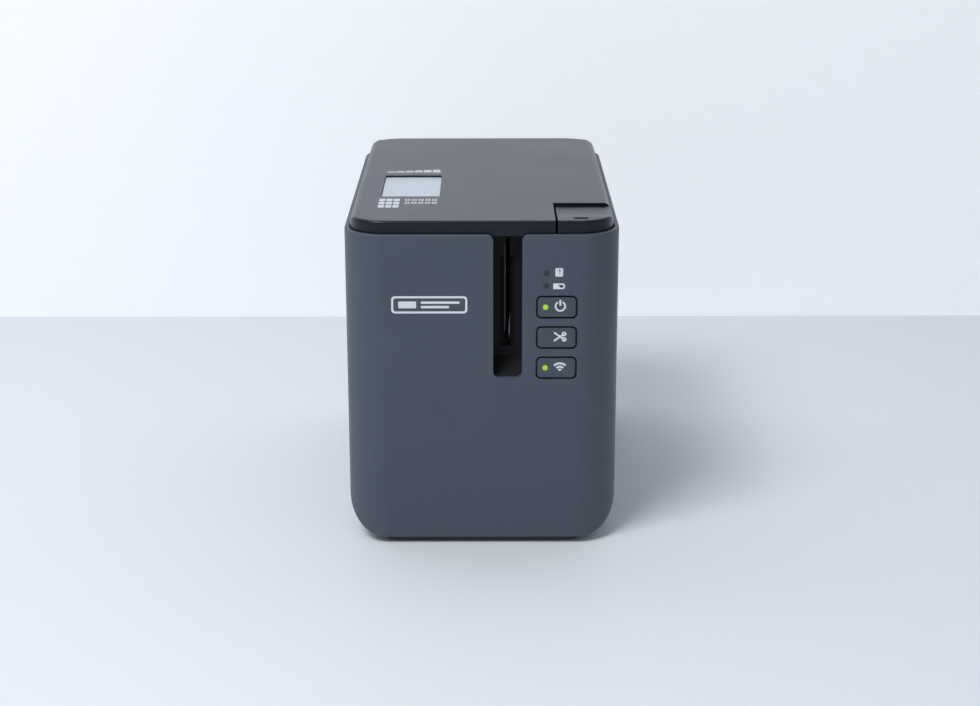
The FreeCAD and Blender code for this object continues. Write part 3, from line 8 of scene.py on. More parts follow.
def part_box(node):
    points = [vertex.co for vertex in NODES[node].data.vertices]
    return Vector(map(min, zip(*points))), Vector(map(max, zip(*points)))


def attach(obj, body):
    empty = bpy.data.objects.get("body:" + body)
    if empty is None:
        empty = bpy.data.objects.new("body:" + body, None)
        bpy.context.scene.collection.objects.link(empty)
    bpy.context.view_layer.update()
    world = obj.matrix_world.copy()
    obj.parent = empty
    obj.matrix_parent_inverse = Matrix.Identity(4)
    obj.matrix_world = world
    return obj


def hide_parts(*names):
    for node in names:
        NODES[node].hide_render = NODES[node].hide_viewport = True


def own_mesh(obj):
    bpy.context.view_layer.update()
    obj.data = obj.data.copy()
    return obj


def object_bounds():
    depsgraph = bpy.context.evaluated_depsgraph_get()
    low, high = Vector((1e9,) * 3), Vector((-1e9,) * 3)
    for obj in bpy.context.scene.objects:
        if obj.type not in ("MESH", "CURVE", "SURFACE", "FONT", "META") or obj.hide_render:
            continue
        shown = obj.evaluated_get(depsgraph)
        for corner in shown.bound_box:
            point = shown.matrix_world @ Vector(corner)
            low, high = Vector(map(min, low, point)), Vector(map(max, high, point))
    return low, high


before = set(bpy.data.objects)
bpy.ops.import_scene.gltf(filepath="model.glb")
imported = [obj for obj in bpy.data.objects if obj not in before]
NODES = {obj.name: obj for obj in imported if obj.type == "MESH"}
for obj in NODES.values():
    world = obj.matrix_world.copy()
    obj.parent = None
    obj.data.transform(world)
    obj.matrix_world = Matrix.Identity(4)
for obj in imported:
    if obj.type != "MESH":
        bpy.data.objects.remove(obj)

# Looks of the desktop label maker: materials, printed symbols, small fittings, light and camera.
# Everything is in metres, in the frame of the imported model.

CAD_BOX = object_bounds()
MM = 0.001
SCENE = bpy.context.scene


def srgb(r, g, b):
    """Linear colour of an 8-bit screen colour."""
    def linear(v):
        v /= 255.0
        return v / 12.92 if v <= 0.04045 else ((v + 0.055) / 1.055) ** 2.4
    return (linear(r), linear(g), linear(b), 1.0)


def scaled(colour, factor, lift=0.0):
    """A colour made darker or lighter, and kept within 1."""
    return [min(c * factor + lift, 1.0) for c in colour[:3]] + [1.0]


# ---------------------------------------------------------------- node material kit
# Share by which a bevelled normal has turned away where an edge starts to show, and where it shows in full.
EDGE_STARTS = 0.02
EDGE_FULL = 0.35


class Surface:
    """A node material under construction. Patterns are in object coordinates, in metres."""

    def __init__(self, name):
        self.material = bpy.data.materials.new(name)
        self.material.use_nodes = True
        self.tree = self.material.node_tree
        self.tree.nodes.clear()
        self.shader = self.node("ShaderNodeBsdfPrincipled")
        self.output = self.node("ShaderNodeOutputMaterial")
        self.tree.links.new(self.shader.outputs["BSDF"], self.output.inputs["Surface"])
        self.place = self.node("ShaderNodeTexCoord").outputs["Object"]
        self.normal = None

    def node(self, kind, **settings):
        made = self.tree.nodes.new(kind)
        for key, value in settings.items():
            setattr(made, key, value)
        return made

    def put(self, socket, value):
        if isinstance(value, bpy.types.NodeSocket):
            self.tree.links.new(value, socket)
        else:
            socket.default_value = value

    def set(self, **values):
        """Numbers and links for the shader's own sockets: underscores stand for spaces."""
        for key, value in values.items():
            self.put(self.shader.inputs[key.replace("_", " ")], value)
        return self

    def math(self, operation, a, b):
        made = self.node("ShaderNodeMath", operation=operation)
        self.put(made.inputs[0], a)
        self.put(made.inputs[1], b)
        return made.outputs[0]

    def stretch(self, x, y, z):
        """The object coordinates, scaled along each axis."""
        made = self.node("ShaderNodeMapping")
        self.put(made.inputs["Vector"], self.place)
        made.inputs["Scale"].default_value = (x, y, z)
        return made.outputs[0]

    def noise(self, size, detail=2.0, rough=0.5, place=None):
        """Noise whose features are about that size in metres, from 0 to 1."""
        made = self.node("ShaderNodeTexNoise")
        self.put(made.inputs["Vector"], place or self.place)
        made.inputs["Scale"].default_value = 1.0 / size
        made.inputs["Detail"].default_value = detail
        made.inputs["Roughness"].default_value = rough
        return made.outputs[0]

    def span(self, value, low, high, to_low=0.0, to_high=1.0):
        """Maps low..high of a value on to another span, clamped."""
        made = self.node("ShaderNodeMapRange", clamp=True)
        ends = (("From Min", low), ("From Max", high), ("To Min", to_low), ("To Max", to_high))
        for key, number in ends:
            made.inputs[key].default_value = number
        self.put(made.inputs["Value"], value)
        return made.outputs["Result"]

    def blend(self, factor, a, b):
        made = self.node("ShaderNodeMix", data_type="RGBA")
        self.put(made.inputs["Factor"], factor)
        self.put(made.inputs["A"], a)
        self.put(made.inputs["B"], b)
        return made.outputs["Result"]

    def edges(self, radius):
        """1 on the object's sharp edges and 0 on its faces."""
        bevel = self.node("ShaderNodeBevel", samples=4)
        bevel.inputs["Radius"].default_value = radius
        dot = self.node("ShaderNodeVectorMath", operation="DOT_PRODUCT")
        self.put(dot.inputs[0], bevel.outputs[0])
        self.put(dot.inputs[1], self.node("ShaderNodeNewGeometry").outputs["Normal"])
        turned = self.math("SUBTRACT", 1.0, dot.outputs["Value"])
        return self.span(turned, EDGE_STARTS, EDGE_FULL)

    def bump(self, height, depth):
        """Adds a bump of that depth in metres, on top of any before it."""
        made = self.node("ShaderNodeBump")
        made.inputs["Strength"].default_value = 1.0
        made.inputs["Distance"].default_value = depth
        self.put(made.inputs["Height"], height)
        if self.normal is not None:
            self.put(made.inputs["Normal"], self.normal)
        self.normal = made.outputs[0]
        self.put(self.shader.inputs["Normal"], self.normal)
        return self


def plastic(name, colour, rough, grain=0.35 * MM, depth=0.02 * MM, edge_wear_and_highlight_level=0.25, specular=0.5):
    """Moulded plastic: spark-eroded grain, faint mottling, edges rubbed a little smoother, and paler along
    them from wear and a painted highlight.
    """
    s = Surface(name)
    mottle = s.span(s.noise(28 * MM, 3.0), 0.3, 0.7)
    fleck = s.span(s.noise(grain * 1.7, 2.0, 0.6), 0.35, 0.65)
    mixed = s.math("ADD", s.math("MULTIPLY", mottle, 0.5), s.math("MULTIPLY", fleck, 0.5))
    body = s.blend(mixed, scaled(colour, 0.96), scaled(colour, 1.04, 0.001))
    # Paler edges: partly wear, partly a painted highlight along every sharp edge, patchy by noise.
    edge_wear_and_highlight_patches = s.span(s.noise(6 * MM, 4.0), 0.3, 0.7, 0.35 * edge_wear_and_highlight_level, edge_wear_and_highlight_level)
    edge_wear_and_highlight = s.math("MULTIPLY", s.edges(0.5 * MM), edge_wear_and_highlight_patches)
    s.set(Base_Color=s.blend(edge_wear_and_highlight, body, scaled(colour, 1.5, 0.02)), Specular_IOR_Level=specular)
    grime = s.span(s.noise(9 * MM, 4.0, 0.6), 0.3, 0.7, rough - 0.01, rough + 0.02)
    s.set(Roughness=s.math("SUBTRACT", grime, s.math("MULTIPLY", edge_wear_and_highlight, 0.3)))
    s.bump(s.noise(grain, 3.0, 0.6), depth)
    return s.material


def gloss_plastic(name, colour, rough):
    """Polished moulding: even and smooth, with a breath of orange peel and finger haze, and a painted
    highlight along its edges.
    """
    s = Surface(name)
    haze = s.span(s.noise(45 * MM, 2.0), 0.3, 0.7)
    # Paler edges: a painted highlight along every sharp edge, partly standing for wear, patchy by noise.
    edge_wear_and_highlight_patches = s.span(s.noise(7 * MM, 3.0), 0.35, 0.7, 0.04, 0.16)
    edge_wear_and_highlight = s.math("MULTIPLY", s.edges(0.4 * MM), edge_wear_and_highlight_patches)
    body = s.blend(haze, colour, scaled(colour, 1.12, 0.001))
    s.set(Base_Color=s.blend(edge_wear_and_highlight, body, scaled(colour, 2.2, 0.02)))
    s.set(Roughness=s.span(haze, 0.0, 1.0, rough - 0.01, rough + 0.02), Specular_IOR_Level=0.31)
    s.bump(s.noise(1.6 * MM, 1.0), 0.0006 * MM)
    return s.material


def metal(name, colour, rough, brush=None, depth=0.004 * MM):
    """Bare or plated metal, with drawing lines along one axis where brush names it, and a painted highlight
    along its edges.
    """
    s = Surface(name)
    scale = [0.02 if axis == brush else 1.0 for axis in "xyz"]
    lines = s.noise(0.25 * MM, 3.0, 0.7, s.stretch(*scale))
    stain = s.noise(7 * MM, 4.0, 0.6)
    base = s.blend(s.span(stain, 0.3, 0.7), scaled(colour, 0.78), colour)
    # Paler edges: a painted highlight along every sharp edge, standing also for rubbed metal.
    edge_wear_and_highlight = s.math("MULTIPLY", s.edges(0.3 * MM), 0.6)
    s.set(Base_Color=s.blend(edge_wear_and_highlight, base, scaled(colour, 1.25)), Metallic=1.0)
    dulling = s.span(stain, 0.3, 0.7, rough - 0.05, rough + 0.06)
    s.set(Roughness=s.math("ADD", dulling, s.span(lines, 0.3, 0.7, -0.04, 0.05)))
    s.bump(lines, depth)
    return s.material


def rubber(name, colour, rough=0.75):
    """Matt rubber with pale dust on it."""
    s = Surface(name)
    dust = s.span(s.noise(4 * MM, 5.0, 0.7), 0.45, 0.75)
    dusty = s.blend(s.math("MULTIPLY", dust, 0.5), colour, scaled(colour, 2.2, 0.01))
    s.set(Base_Color=dusty, Specular_IOR_Level=0.3)
    s.set(Roughness=s.span(dust, 0.0, 1.0, rough - 0.08, rough + 0.1))
    s.bump(s.noise(0.5 * MM, 3.0), 0.03 * MM)
    return s.material


def board(name):
    """Green solder mask over copper tracks, which show as paler raised lines."""
    s = Surface(name)
    grid = s.node("ShaderNodeTexBrick", offset=0.35, squash=0.6)
    s.put(grid.inputs["Vector"], s.place)
    grid.inputs["Scale"].default_value = 160.0
    grid.inputs["Mortar Size"].default_value = 0.07
    tracks = s.math("SUBTRACT", 1.0, grid.outputs["Fac"])
    broken = s.span(s.noise(14 * MM, 1.0), 0.46, 0.5)
    copper = s.math("MULTIPLY", s.math("SUBTRACT", 1.0, tracks), broken)
    s.set(Base_Color=s.blend(copper, srgb(16, 74, 44), srgb(38, 118, 66)))
    s.set(Coat_Weight=0.4, Coat_Roughness=0.15)
    s.set(Roughness=s.span(s.noise(5 * MM, 3.0), 0.3, 0.7, 0.28, 0.42))
    s.bump(copper, 0.03 * MM)
    return s.material


def lamp(name, colour, strength):
    """Translucent lamp lens with a frosted face, lit evenly from behind."""
    s = Surface(name)
    frost = s.noise(0.3 * MM, 3.0)
    s.set(Base_Color=s.blend(s.span(frost, 0.3, 0.7), colour, scaled(colour, 1.3, 0.02)))
    s.set(Roughness=s.span(frost, 0.3, 0.7, 0.22, 0.4), Emission_Strength=strength)
    s.set(Emission_Color=colour, Subsurface_Weight=0.2)
    s.bump(frost, 0.01 * MM)
    return s.material


def window_pane(name):
    """Frosted clear plastic that lets a little of the cassette's label show."""
    s = Surface(name)
    haze = s.span(s.noise(18 * MM, 2.0), 0.3, 0.7)
    s.set(Base_Color=s.blend(haze, srgb(177, 188, 199), srgb(185, 195, 205)), Alpha=0.97)
    s.set(Roughness=s.span(haze, 0.0, 1.0, 0.26, 0.3), IOR=1.5)
    return s.material


def film_roll(name, colour, edge_colour, pitch):
    """Wound film: the turns show as fine rings around the roll's own height."""
    s = Surface(name)
    turns = s.noise(pitch, 2.0, 0.6, s.stretch(1.0, 1.0, 0.03))
    s.set(Base_Color=s.blend(s.span(turns, 0.35, 0.65), colour, edge_colour), Coat_Weight=0.2)
    s.set(Roughness=s.span(turns, 0.3, 0.7, 0.25, 0.5))
    s.bump(turns, 0.02 * MM)
    return s.material


def ink(name, colour, rough=0.5, specular=0.5):
    """Screen-printed ink, slightly uneven and standing a little proud."""
    s = Surface(name)
    patchy = s.noise(0.6 * MM, 4.0, 0.7)
    body = s.blend(s.span(patchy, 0.35, 0.7), scaled(colour, 0.86), colour)
    s.set(Base_Color=body, Specular_IOR_Level=specular)
    s.set(Roughness=s.span(patchy, 0.3, 0.7, rough - 0.1, rough + 0.1))
    s.bump(patchy, 0.004 * MM)
    return s.material


CASE_GREY = srgb(69, 78, 92)
COVER_GREY = srgb(14, 22, 35)
KEY_GREY = srgb(65, 74, 86)
OFF_WHITE = srgb(232, 237, 242)
LAMP_GREEN = srgb(140, 186, 18)

MATERIALS = {
    "case": plastic("case_plastic", CASE_GREY, 0.5, 0.4 * MM, 0.02 * MM, 0.3),
    "cover": gloss_plastic("cover_plastic", COVER_GREY, 0.3),
    "key": plastic("key_plastic", KEY_GREY, 0.46, 0.3 * MM, 0.012 * MM, 0.3),
    "black": plastic("black_plastic", srgb(26, 28, 32), 0.42, 0.5 * MM, 0.02 * MM, 0.15),
    "chute": plastic("chute_plastic", srgb(25, 27, 30), 0.6, 0.5 * MM, 0.02 * MM, 0.1, 0.25),
    "base": plastic("base_plastic", srgb(38, 42, 50), 0.5, 0.5 * MM, 0.03 * MM, 0.3),
    "nylon": plastic("natural_nylon", srgb(226, 222, 208), 0.4, 0.6 * MM, 0.006 * MM, 0.1),
    "chip": plastic("moulded_package", srgb(28, 29, 31), 0.38, 0.2 * MM, 0.006 * MM, 0.4),
    "cassette": plastic("cassette_plastic", srgb(176, 182, 188), 0.42, 0.4 * MM, 0.012 * MM, 0.15),
    "cable": plastic("cable_film", srgb(214, 214, 208), 0.35, 0.9 * MM, 0.01 * MM, 0.1),
    "steel": metal("drawn_steel", srgb(172, 174, 178), 0.3, "y"),
    "pin": metal("ground_steel", srgb(190, 192, 196), 0.2, "z"),
    "screw": metal("zinc_plate", srgb(176, 178, 176), 0.32),
    "can": metal("plated_can", srgb(186, 186, 184), 0.28, "x"),
    "heat_sink": metal("extruded_aluminium", srgb(196, 198, 202), 0.34, "z"),
    "rubber": rubber("black_rubber", srgb(30, 31, 33)),
    "roller": rubber("roller_rubber", srgb(46, 48, 52), 0.6),
    "board": board("circuit_board"),
    "lamp": lamp("lit_green_lens", LAMP_GREEN, 0.5),
    "dark_lamp": lamp("unlit_lens", srgb(24, 30, 36), 0.0),
    "window": window_pane("window_pane"),
    "label": ink("label_paper", srgb(226, 230, 234), 0.4),
    "tape": film_roll("wound_tape", srgb(224, 226, 230), srgb(196, 200, 206), 0.25 * MM),
    "ribbon": film_roll("wound_ribbon", srgb(22, 22, 26), srgb(48, 46, 54), 0.2 * MM),
    "print": ink("white_print", OFF_WHITE),
    "pale_print": ink("pale_print", srgb(206, 213, 221)),
    "dark_print": ink("dark_print", srgb(34, 38, 46)),
    # Near-black ink for the release button: painted shade standing for the shadow in its engraved groove.
    "painted_groove_shade": ink("painted_groove_shade", srgb(9, 11, 15), 0.8, 0.1),
    "contact": metal("gold_contact", srgb(222, 180, 92), 0.25),
    "ceramic": plastic("glazed_ceramic", srgb(92, 60, 44), 0.22, 0.7 * MM, 0.004 * MM, 0.05),
}

NODE_LOOKS = {
    "case": ["body_shell"],
    "cover": ["top_cover", "release_button"],
    "key": ["power_button", "cut_button", "wireless_button"],
    "chute": ["exit_chute"],
    "black": ["cassette_bay", "cover_liner", "cover_catch", "roller_holder", "latch_lever"],
    "base": ["base_plate", "rear_panel"],
    "rubber": ["rubber_feet"],
    "roller": ["platen_roller", "pressure_roller", "cassette_drive_roller"],
    "nylon": ["key_board_posts", "drive_idler", "tape_drive_spindle", "ribbon_drive_spindle",
              "motor_pinion", "cutter_cam_gear", "cutter_pinion"],
    "chip": ["key_switches", "board_parts", "dc_inlet", "serial_socket"],
    "can": ["usb_sockets", "lan_socket", "feed_motor", "cutter_motor"],
    "cassette": ["cassette_case", "cassette_lid"],
    "cable": ["key_cable"],
    "steel": ["mechanism_plate", "cutter_frame", "fixed_blade", "moving_blade", "release_spring"],
    "pin": ["pivot_pins", "hinge_pins", "platen_shaft"],
    "screw": ["case_screws", "cover_screws"],
    "heat_sink": ["head_heat_sink"],
    "ceramic": ["print_head"],
    "board": ["key_board", "main_board"],
    "lamp": ["power_lens", "wireless_lens", "indicator_lamps"],
    "dark_lamp": ["status_lenses"],
    "window": ["cover_window"],
    "label": ["cassette_label"],
    "tape": ["tape_roll"],
    "ribbon": ["ribbon_takeup_spool", "ribbon_supply_roll"],
}

# Width of the softened edges of the nodes that show, in millimetres.
SOFT_EDGES = {
    "body_shell": 0.35, "top_cover": 0.3, "release_button": 0.3, "power_button": 0.15,
    "cut_button": 0.15, "wireless_button": 0.15, "exit_chute": 0.2, "base_plate": 0.4,
    "rear_panel": 0.3, "cassette_case": 0.25, "cassette_lid": 0.25, "cassette_bay": 0.3,
    "cover_liner": 0.2, "roller_holder": 0.25, "cover_window": 0.15, "rubber_feet": 0.2,
    "head_heat_sink": 0.2, "usb_sockets": 0.12, "lan_socket": 0.15, "serial_socket": 0.15,
    "dc_inlet": 0.15,
}
CREASE_ANGLE = math.radians(30)
BEVEL_ANGLE = math.radians(32)
FLAT_ANGLE = math.radians(0.05)
WELD_DISTANCE = 0.002 * MM


def smoothing_group():
    """Geometry nodes that shade smooth everywhere but across edges sharper than CREASE_ANGLE."""
    tree = bpy.data.node_groups.new("smooth_by_angle", "GeometryNodeTree")
    tree.interface.new_socket("Geometry", in_out="INPUT", socket_type="NodeSocketGeometry")
    tree.interface.new_socket("Geometry", in_out="OUTPUT", socket_type="NodeSocketGeometry")
    start = tree.nodes.new("NodeGroupInput")
    end = tree.nodes.new("NodeGroupOutput")
    faces = tree.nodes.new("GeometryNodeSetShadeSmooth")
    creases = tree.nodes.new("GeometryNodeSetShadeSmooth")
    creases.domain = "EDGE"
    creases.inputs["Shade Smooth"].default_value = False
    angle = tree.nodes.new("GeometryNodeInputMeshEdgeAngle")
    sharp = tree.nodes.new("FunctionNodeCompare")
    sharp.operation = "GREATER_THAN"
    sharp.inputs[1].default_value = CREASE_ANGLE
    tree.links.new(start.outputs[0], faces.inputs["Geometry"])
    tree.links.new(faces.outputs[0], creases.inputs["Geometry"])
    tree.links.new(angle.outputs["Unsigned Angle"], sharp.inputs[0])
    tree.links.new(sharp.outputs[0], creases.inputs["Selection"])
    tree.links.new(creases.outputs[0], end.inputs[0])
    return tree


SMOOTH = smoothing_group()


def soften(obj, width_mm):
    """Joins the CAD faces of a mesh, rounds its sharp edges and shades it smooth."""
    weld = obj.modifiers.new("join_faces", "WELD")
    weld.merge_threshold = WELD_DISTANCE
    if width_mm:
        flat = obj.modifiers.new("clean_flats", "DECIMATE")
        flat.decimate_type = "DISSOLVE"
        flat.angle_limit = FLAT_ANGLE
        bevel = obj.modifiers.new("soft_edges", "BEVEL")
        bevel.width = width_mm * MM
        bevel.segments = 2
        bevel.limit_method = "ANGLE"
        bevel.angle_limit = BEVEL_ANGLE
        bevel.harden_normals = False
        bevel.miter_outer = "MITER_ARC"
    shade = obj.modifiers.new("smooth_by_angle", "NODES")
    shade.node_group = SMOOTH
    flat_shading = obj.modifiers.new("even_flats", "WEIGHTED_NORMAL")
    flat_shading.keep_sharp = True


def dress_nodes():
    """Gives every CAD piece its material and its softened edges."""
    for look, names in NODE_LOOKS.items():
        for name in names:
            mesh = NODES[name].data
            mesh.materials.clear()
            mesh.materials.append(MATERIALS[look])
            soften(NODES[name], SOFT_EDGES.get(name, 0.0))


# ---------------------------------------------------------------- printed symbols
def ring(x, y, r, steps=28):
    """Outline of a disc."""
    return [(x + r * math.cos(2 * math.pi * k / steps), y + r * math.sin(2 * math.pi * k / steps))
            for k in range(steps)]


def arc(x, y, r, width, start, end, steps=16):
    """Outline of a stroke along an arc, with angles in degrees."""
    angles = [math.radians(start + (end - start) * k / steps) for k in range(steps + 1)]
    outer = [(x + (r + width / 2) * math.cos(a), y + (r + width / 2) * math.sin(a)) for a in angles]
    inner = [(x + (r - width / 2) * math.cos(a), y + (r - width / 2) * math.sin(a)) for a in angles]
    return outer + inner[::-1]


def bar(x0, y0, x1, y1, width):
    """Outline of a straight stroke with square ends."""
    length = math.hypot(x1 - x0, y1 - y0)
    u, v = -(y1 - y0) / length * width / 2, (x1 - x0) / length * width / 2
    return [(x0 + u, y0 + v), (x1 + u, y1 + v), (x1 - u, y1 - v), (x0 - u, y0 - v)]


def pad(x0, y0, x1, y1, r=0.0, steps=5):
    """Outline of a rectangle with rounded corners."""
    if not r:
        return [(x0, y0), (x1, y0), (x1, y1), (x0, y1)]
    points = []
    corners = ((x1 - r, y0 + r, -90), (x1 - r, y1 - r, 0), (x0 + r, y1 - r, 90), (x0 + r, y0 + r, 180))
    for cx, cy, start in corners:
        for k in range(steps + 1):
            a = math.radians(start + 90 * k / steps)
            points.append((cx + r * math.cos(a), cy + r * math.sin(a)))
    return points


FRONT_FACE = Matrix(((1, 0, 0), (0, 0, -1), (0, 1, 0)))
TOP_FACE = Matrix(((1, 0, 0), (0, 1, 0), (0, 0, 1)))
BACK_FACE = Matrix(((-1, 0, 0), (0, 0, 1), (0, 1, 0)))
INK_THICKNESS = 0.03 * MM
INK_SINK = 0.3 * INK_THICKNESS
LAYER_STEP = INK_THICKNESS / 8


def filled(outlines, lift):
    """Mesh of flat outlines in millimetres, as thick as ink. Loops inside others are holes."""
    curve = bpy.data.curves.new("outline", "CURVE")
    curve.dimensions = "2D"
    curve.fill_mode = "BOTH"
    curve.extrude = INK_THICKNESS / 2
    for outline in outlines:
        line = curve.splines.new("POLY")
        line.points.add(len(outline) - 1)
        for point, (x, y) in zip(line.points, outline):
            point.co = (x * MM, y * MM, 0.0, 1.0)
        line.use_cyclic_u = True
    flat = bpy.data.objects.new("outline", curve)
    mesh = bpy.data.meshes.new_from_object(flat)
    bpy.data.objects.remove(flat)
    mesh.transform(Matrix.Translation((0, 0, lift)))
    return mesh


def printed(name, strokes, at, face, look, body):
    """A symbol centred on a point of a face. A stroke is a list of outlines, and later ones lie on top."""
    form = bmesh.new()
    for layer, outlines in enumerate(strokes):
        mesh = filled(outlines, layer * LAYER_STEP)
        form.from_mesh(mesh)
        bpy.data.meshes.remove(mesh)
    mesh = bpy.data.meshes.new(name)
    form.to_mesh(mesh)
    form.free()
    mesh.transform(Matrix.Translation(Vector(at)) @ face.to_4x4())
    return piece(name, mesh, look, body)


def piece(name, mesh, look, body):
    """A new piece made of a mesh, riding on a body of the model."""
    mesh.name = name
    obj = bpy.data.objects.new(name, mesh)
    SCENE.collection.objects.link(obj)
    mesh.materials.clear()
    mesh.materials.append(MATERIALS[look])
    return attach(obj, body)


def power_symbol():
    """An open ring with a bar through its gap."""
    return [[arc(0, 0, 2.03, 0.75, 118, 422, 28)], [bar(0, 0.2, 0, 2.8, 0.85)]]


def cut_symbol():
    """Scissors pointing left: two ring handles and two crossed blades."""
    strokes = []
    for side in (-1, 1):
        strokes.append([ring(1.75, side * 1.2, 1.0), ring(1.75, side * 1.2, 0.3)])
        strokes.append([bar(1.2, side * 0.85, -2.6, -side * 1.9, 0.76)])
    return strokes


def wireless_symbol():
    """A dot under two arcs."""
    return [[arc(0, -2.0, 0.6, 1.2, 46, 134, 8)]] + [[arc(0, -2.0, r, 0.85, 46, 134)] for r in (2.1, 3.6)]


def cassette_symbol():
    """A rounded block with a bar and a dot cut out of it."""
    return [[pad(-1.65, -1.85, 1.65, 1.85, 0.5), pad(0.0, 0.1, 0.5, 1.4), pad(0.0, -0.8, 0.5, -0.35)]]


def battery_symbol():
    """Battery lying on its side, rounded at its right end, with a slanted level."""
    body = [(-2.5, -1.25)] + [(1.6 + 0.9 * math.cos(a), side * 0.35 + 0.9 * math.sin(a))
                              for side, turn in ((-1, -90), (1, 0))
                              for a in (math.radians(turn + 15 * k) for k in range(7))] + [(-2.5, 1.25)]
    empty = [(-0.35, 0.65), (0.6, -0.65), (1.45, -0.65), (1.85, -0.3), (1.85, 0.3), (1.45, 0.65)]
    return [[body, empty]]


def maker_symbol():
    """Plain pictogram of a printed label: a rounded outline with a short thick line and two thin ones."""
    return [[pad(-16.2, -3.8, 16.2, 3.8, 1.6), pad(-15.3, -2.9, 15.3, 2.9, 0.9)],
            [pad(-13.2, -1.5, -5.6, 1.5, 0.3), pad(-3.6, 0.45, 12.9, 1.5, 0.3),
             pad(-3.6, -1.5, 8.4, -0.45, 0.3)]]


def height_at(node, x, y):
    """Height of a CAD piece's upper surface over a point, clear of it by twice the thickness of the ink."""
    obj = NODES[node]
    inward = obj.matrix_world.inverted()
    start = inward @ Vector((x, y, 1.0))
    place = obj.ray_cast(start, inward.to_3x3() @ Vector((0, 0, -1)))[1]
    return (obj.matrix_world @ place).z + INK_THICKNESS * 2


# Where the front's symbols and the painted shade on the release button's top stand, from the pieces they
# belong to.
KEY_SYMBOL_RIGHT = 1.5 * MM
KEY_SYMBOL_UP = 0.5 * MM
STATUS_RIGHT = 5.4 * MM
CASSETTE_BELOW_TOP = 1.55 * MM
BATTERY_ABOVE_LOW = 1.75 * MM
# Where the painted shade over the release button's groove stands.
GROOVE_SHADE_FROM_SIDE = 14.2 * MM
GROOVE_SHADE_FROM_FRONT = 5.2 * MM
MAKER_X = -22.35 * MM
MAKER_BELOW_RIM = 30.4 * MM


def key_symbols(front):
    """The pictogram on each key, to the right of its lamp."""
    makes = {"power": power_symbol, "cut": cut_symbol, "wireless": wireless_symbol}
    for key, make in makes.items():
        low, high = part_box(key + "_button")
        middle = (low + high) / 2
        at = (middle.x + KEY_SYMBOL_RIGHT, front - INK_SINK, middle.z + KEY_SYMBOL_UP)
        printed(key + "_button_symbol", make(), at, FRONT_FACE, "print", key + "_key")


def status_symbols(face):
    """The pictograms beside the two status lamps."""
    low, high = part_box("status_lenses")
    x = (low.x + high.x) / 2 + STATUS_RIGHT
    places = (("cassette_symbol", cassette_symbol, high.z - CASSETTE_BELOW_TOP),
              ("battery_symbol", battery_symbol, low.z + BATTERY_ABOVE_LOW))
    for name, make, z in places:
        printed(name, make(), (x, face, z), FRONT_FACE, "print", "case")


def front_symbols():
    """The marks on the keys, beside the status lamps and on the case's front, and painted shade over the
    release button's groove.
    """
    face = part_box("body_shell")[0].y - INK_SINK
    key_symbols(CAD_BOX[0].y)
    status_symbols(face)
    # Painted shade: a near-black patch laid over the release button's groove, where the groove lies in
    # shadow.
    low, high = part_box("release_button")
    x, y = high.x - GROOVE_SHADE_FROM_SIDE, low.y + GROOVE_SHADE_FROM_FRONT
    at = (x, y, height_at("release_button", x, y))
    printed("release_groove_shade", [[pad(-3.0, -1.3, 3.0, 1.3, 0.5)]], at, TOP_FACE, "painted_groove_shade",
            "release_button_body")
    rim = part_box("body_shell")[1].z
    printed("label_pictogram", maker_symbol(), (MAKER_X, face, rim - MAKER_BELOW_RIM), FRONT_FACE,
            "print", "case")


SYMBOL_OVER_SOCKET = 3.0 * MM


def port_symbols():
    """Plain pictograms over the sockets on the back."""
    symbols = {
        "dc_inlet": [ring(0, 0, 1.5), ring(0, 0, 1.0), ring(0, 0, 0.45)],
        "lan_socket": [pad(-0.7, 0.5, 0.7, 1.6), pad(-2.0, -1.5, -0.6, -0.4), pad(0.6, -1.5, 2.0, -0.4),
                       pad(-1.5, -0.15, 1.5, 0.2)],
        "serial_socket": [ring(-2.0 + 1.0 * k, 0.5 * (-1) ** k, 0.38, 12) for k in range(5)],
    }
    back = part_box("rear_panel")[1].y + INK_SINK
    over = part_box("lan_socket")[1].z + SYMBOL_OVER_SOCKET
    for node, shape in symbols.items():
        low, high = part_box(node)
        at = ((low.x + high.x) / 2, back, over)
        printed(node + "_symbol", [shape], at, BACK_FACE, "pale_print", "case")


def width_gauge():
    """Stepped wedge over a thin rule, like the range of tape widths."""
    shapes = [pad(-13.0, 0.0, 13.0, 0.7)]
    for step in range(6):
        x = -12.4 + 4.2 * step
        shapes.append(pad(x, 1.7, x + 3.5, 3.0 + 0.75 * step, 0.2))
    return shapes


GAUGE_BEHIND_WINDOW = 5.2 * MM
TILES_BEFORE_WINDOW = 12.4 * MM


# Sizes of the tiles and rings, in millimetres.
TILE_WIDE, TILE_TALL = 2.7, 5.0
TILE_PITCH_X, TILE_PITCH_Y = 3.2, 6.4
DOT_WIDE, DOT_TALL = 2.2, 3.6
DOT_PITCH_X, DOT_PITCH_Y = 3.0, 6.0
DOT_RIM_X, DOT_RIM_Y = 0.55, 0.9


def tile_outlines():
    """Three rows of three tiles."""
    tiles = []
    for row in range(3):
        y = -9.0 + TILE_PITCH_Y * row
        for column in range(3):
            x = -13.4 + TILE_PITCH_X * column
            tiles.append(pad(x, y, x + TILE_WIDE, y + TILE_TALL, 0.5))
    return tiles


def dot_outlines():
    """Two rows of five rings. The second outline of each is its hole."""
    dots = []
    for row in range(2):
        for column in range(5):
            x = -2.0 + DOT_PITCH_X * column
            y = -1.4 + DOT_PITCH_Y * row
            dots.append(pad(x, y, x + DOT_WIDE, y + DOT_TALL, 0.6))
            dots.append(pad(x + DOT_RIM_X, y + DOT_RIM_Y, x + DOT_WIDE - DOT_RIM_X,
                            y + DOT_TALL - DOT_RIM_Y, 0.3))
    return dots


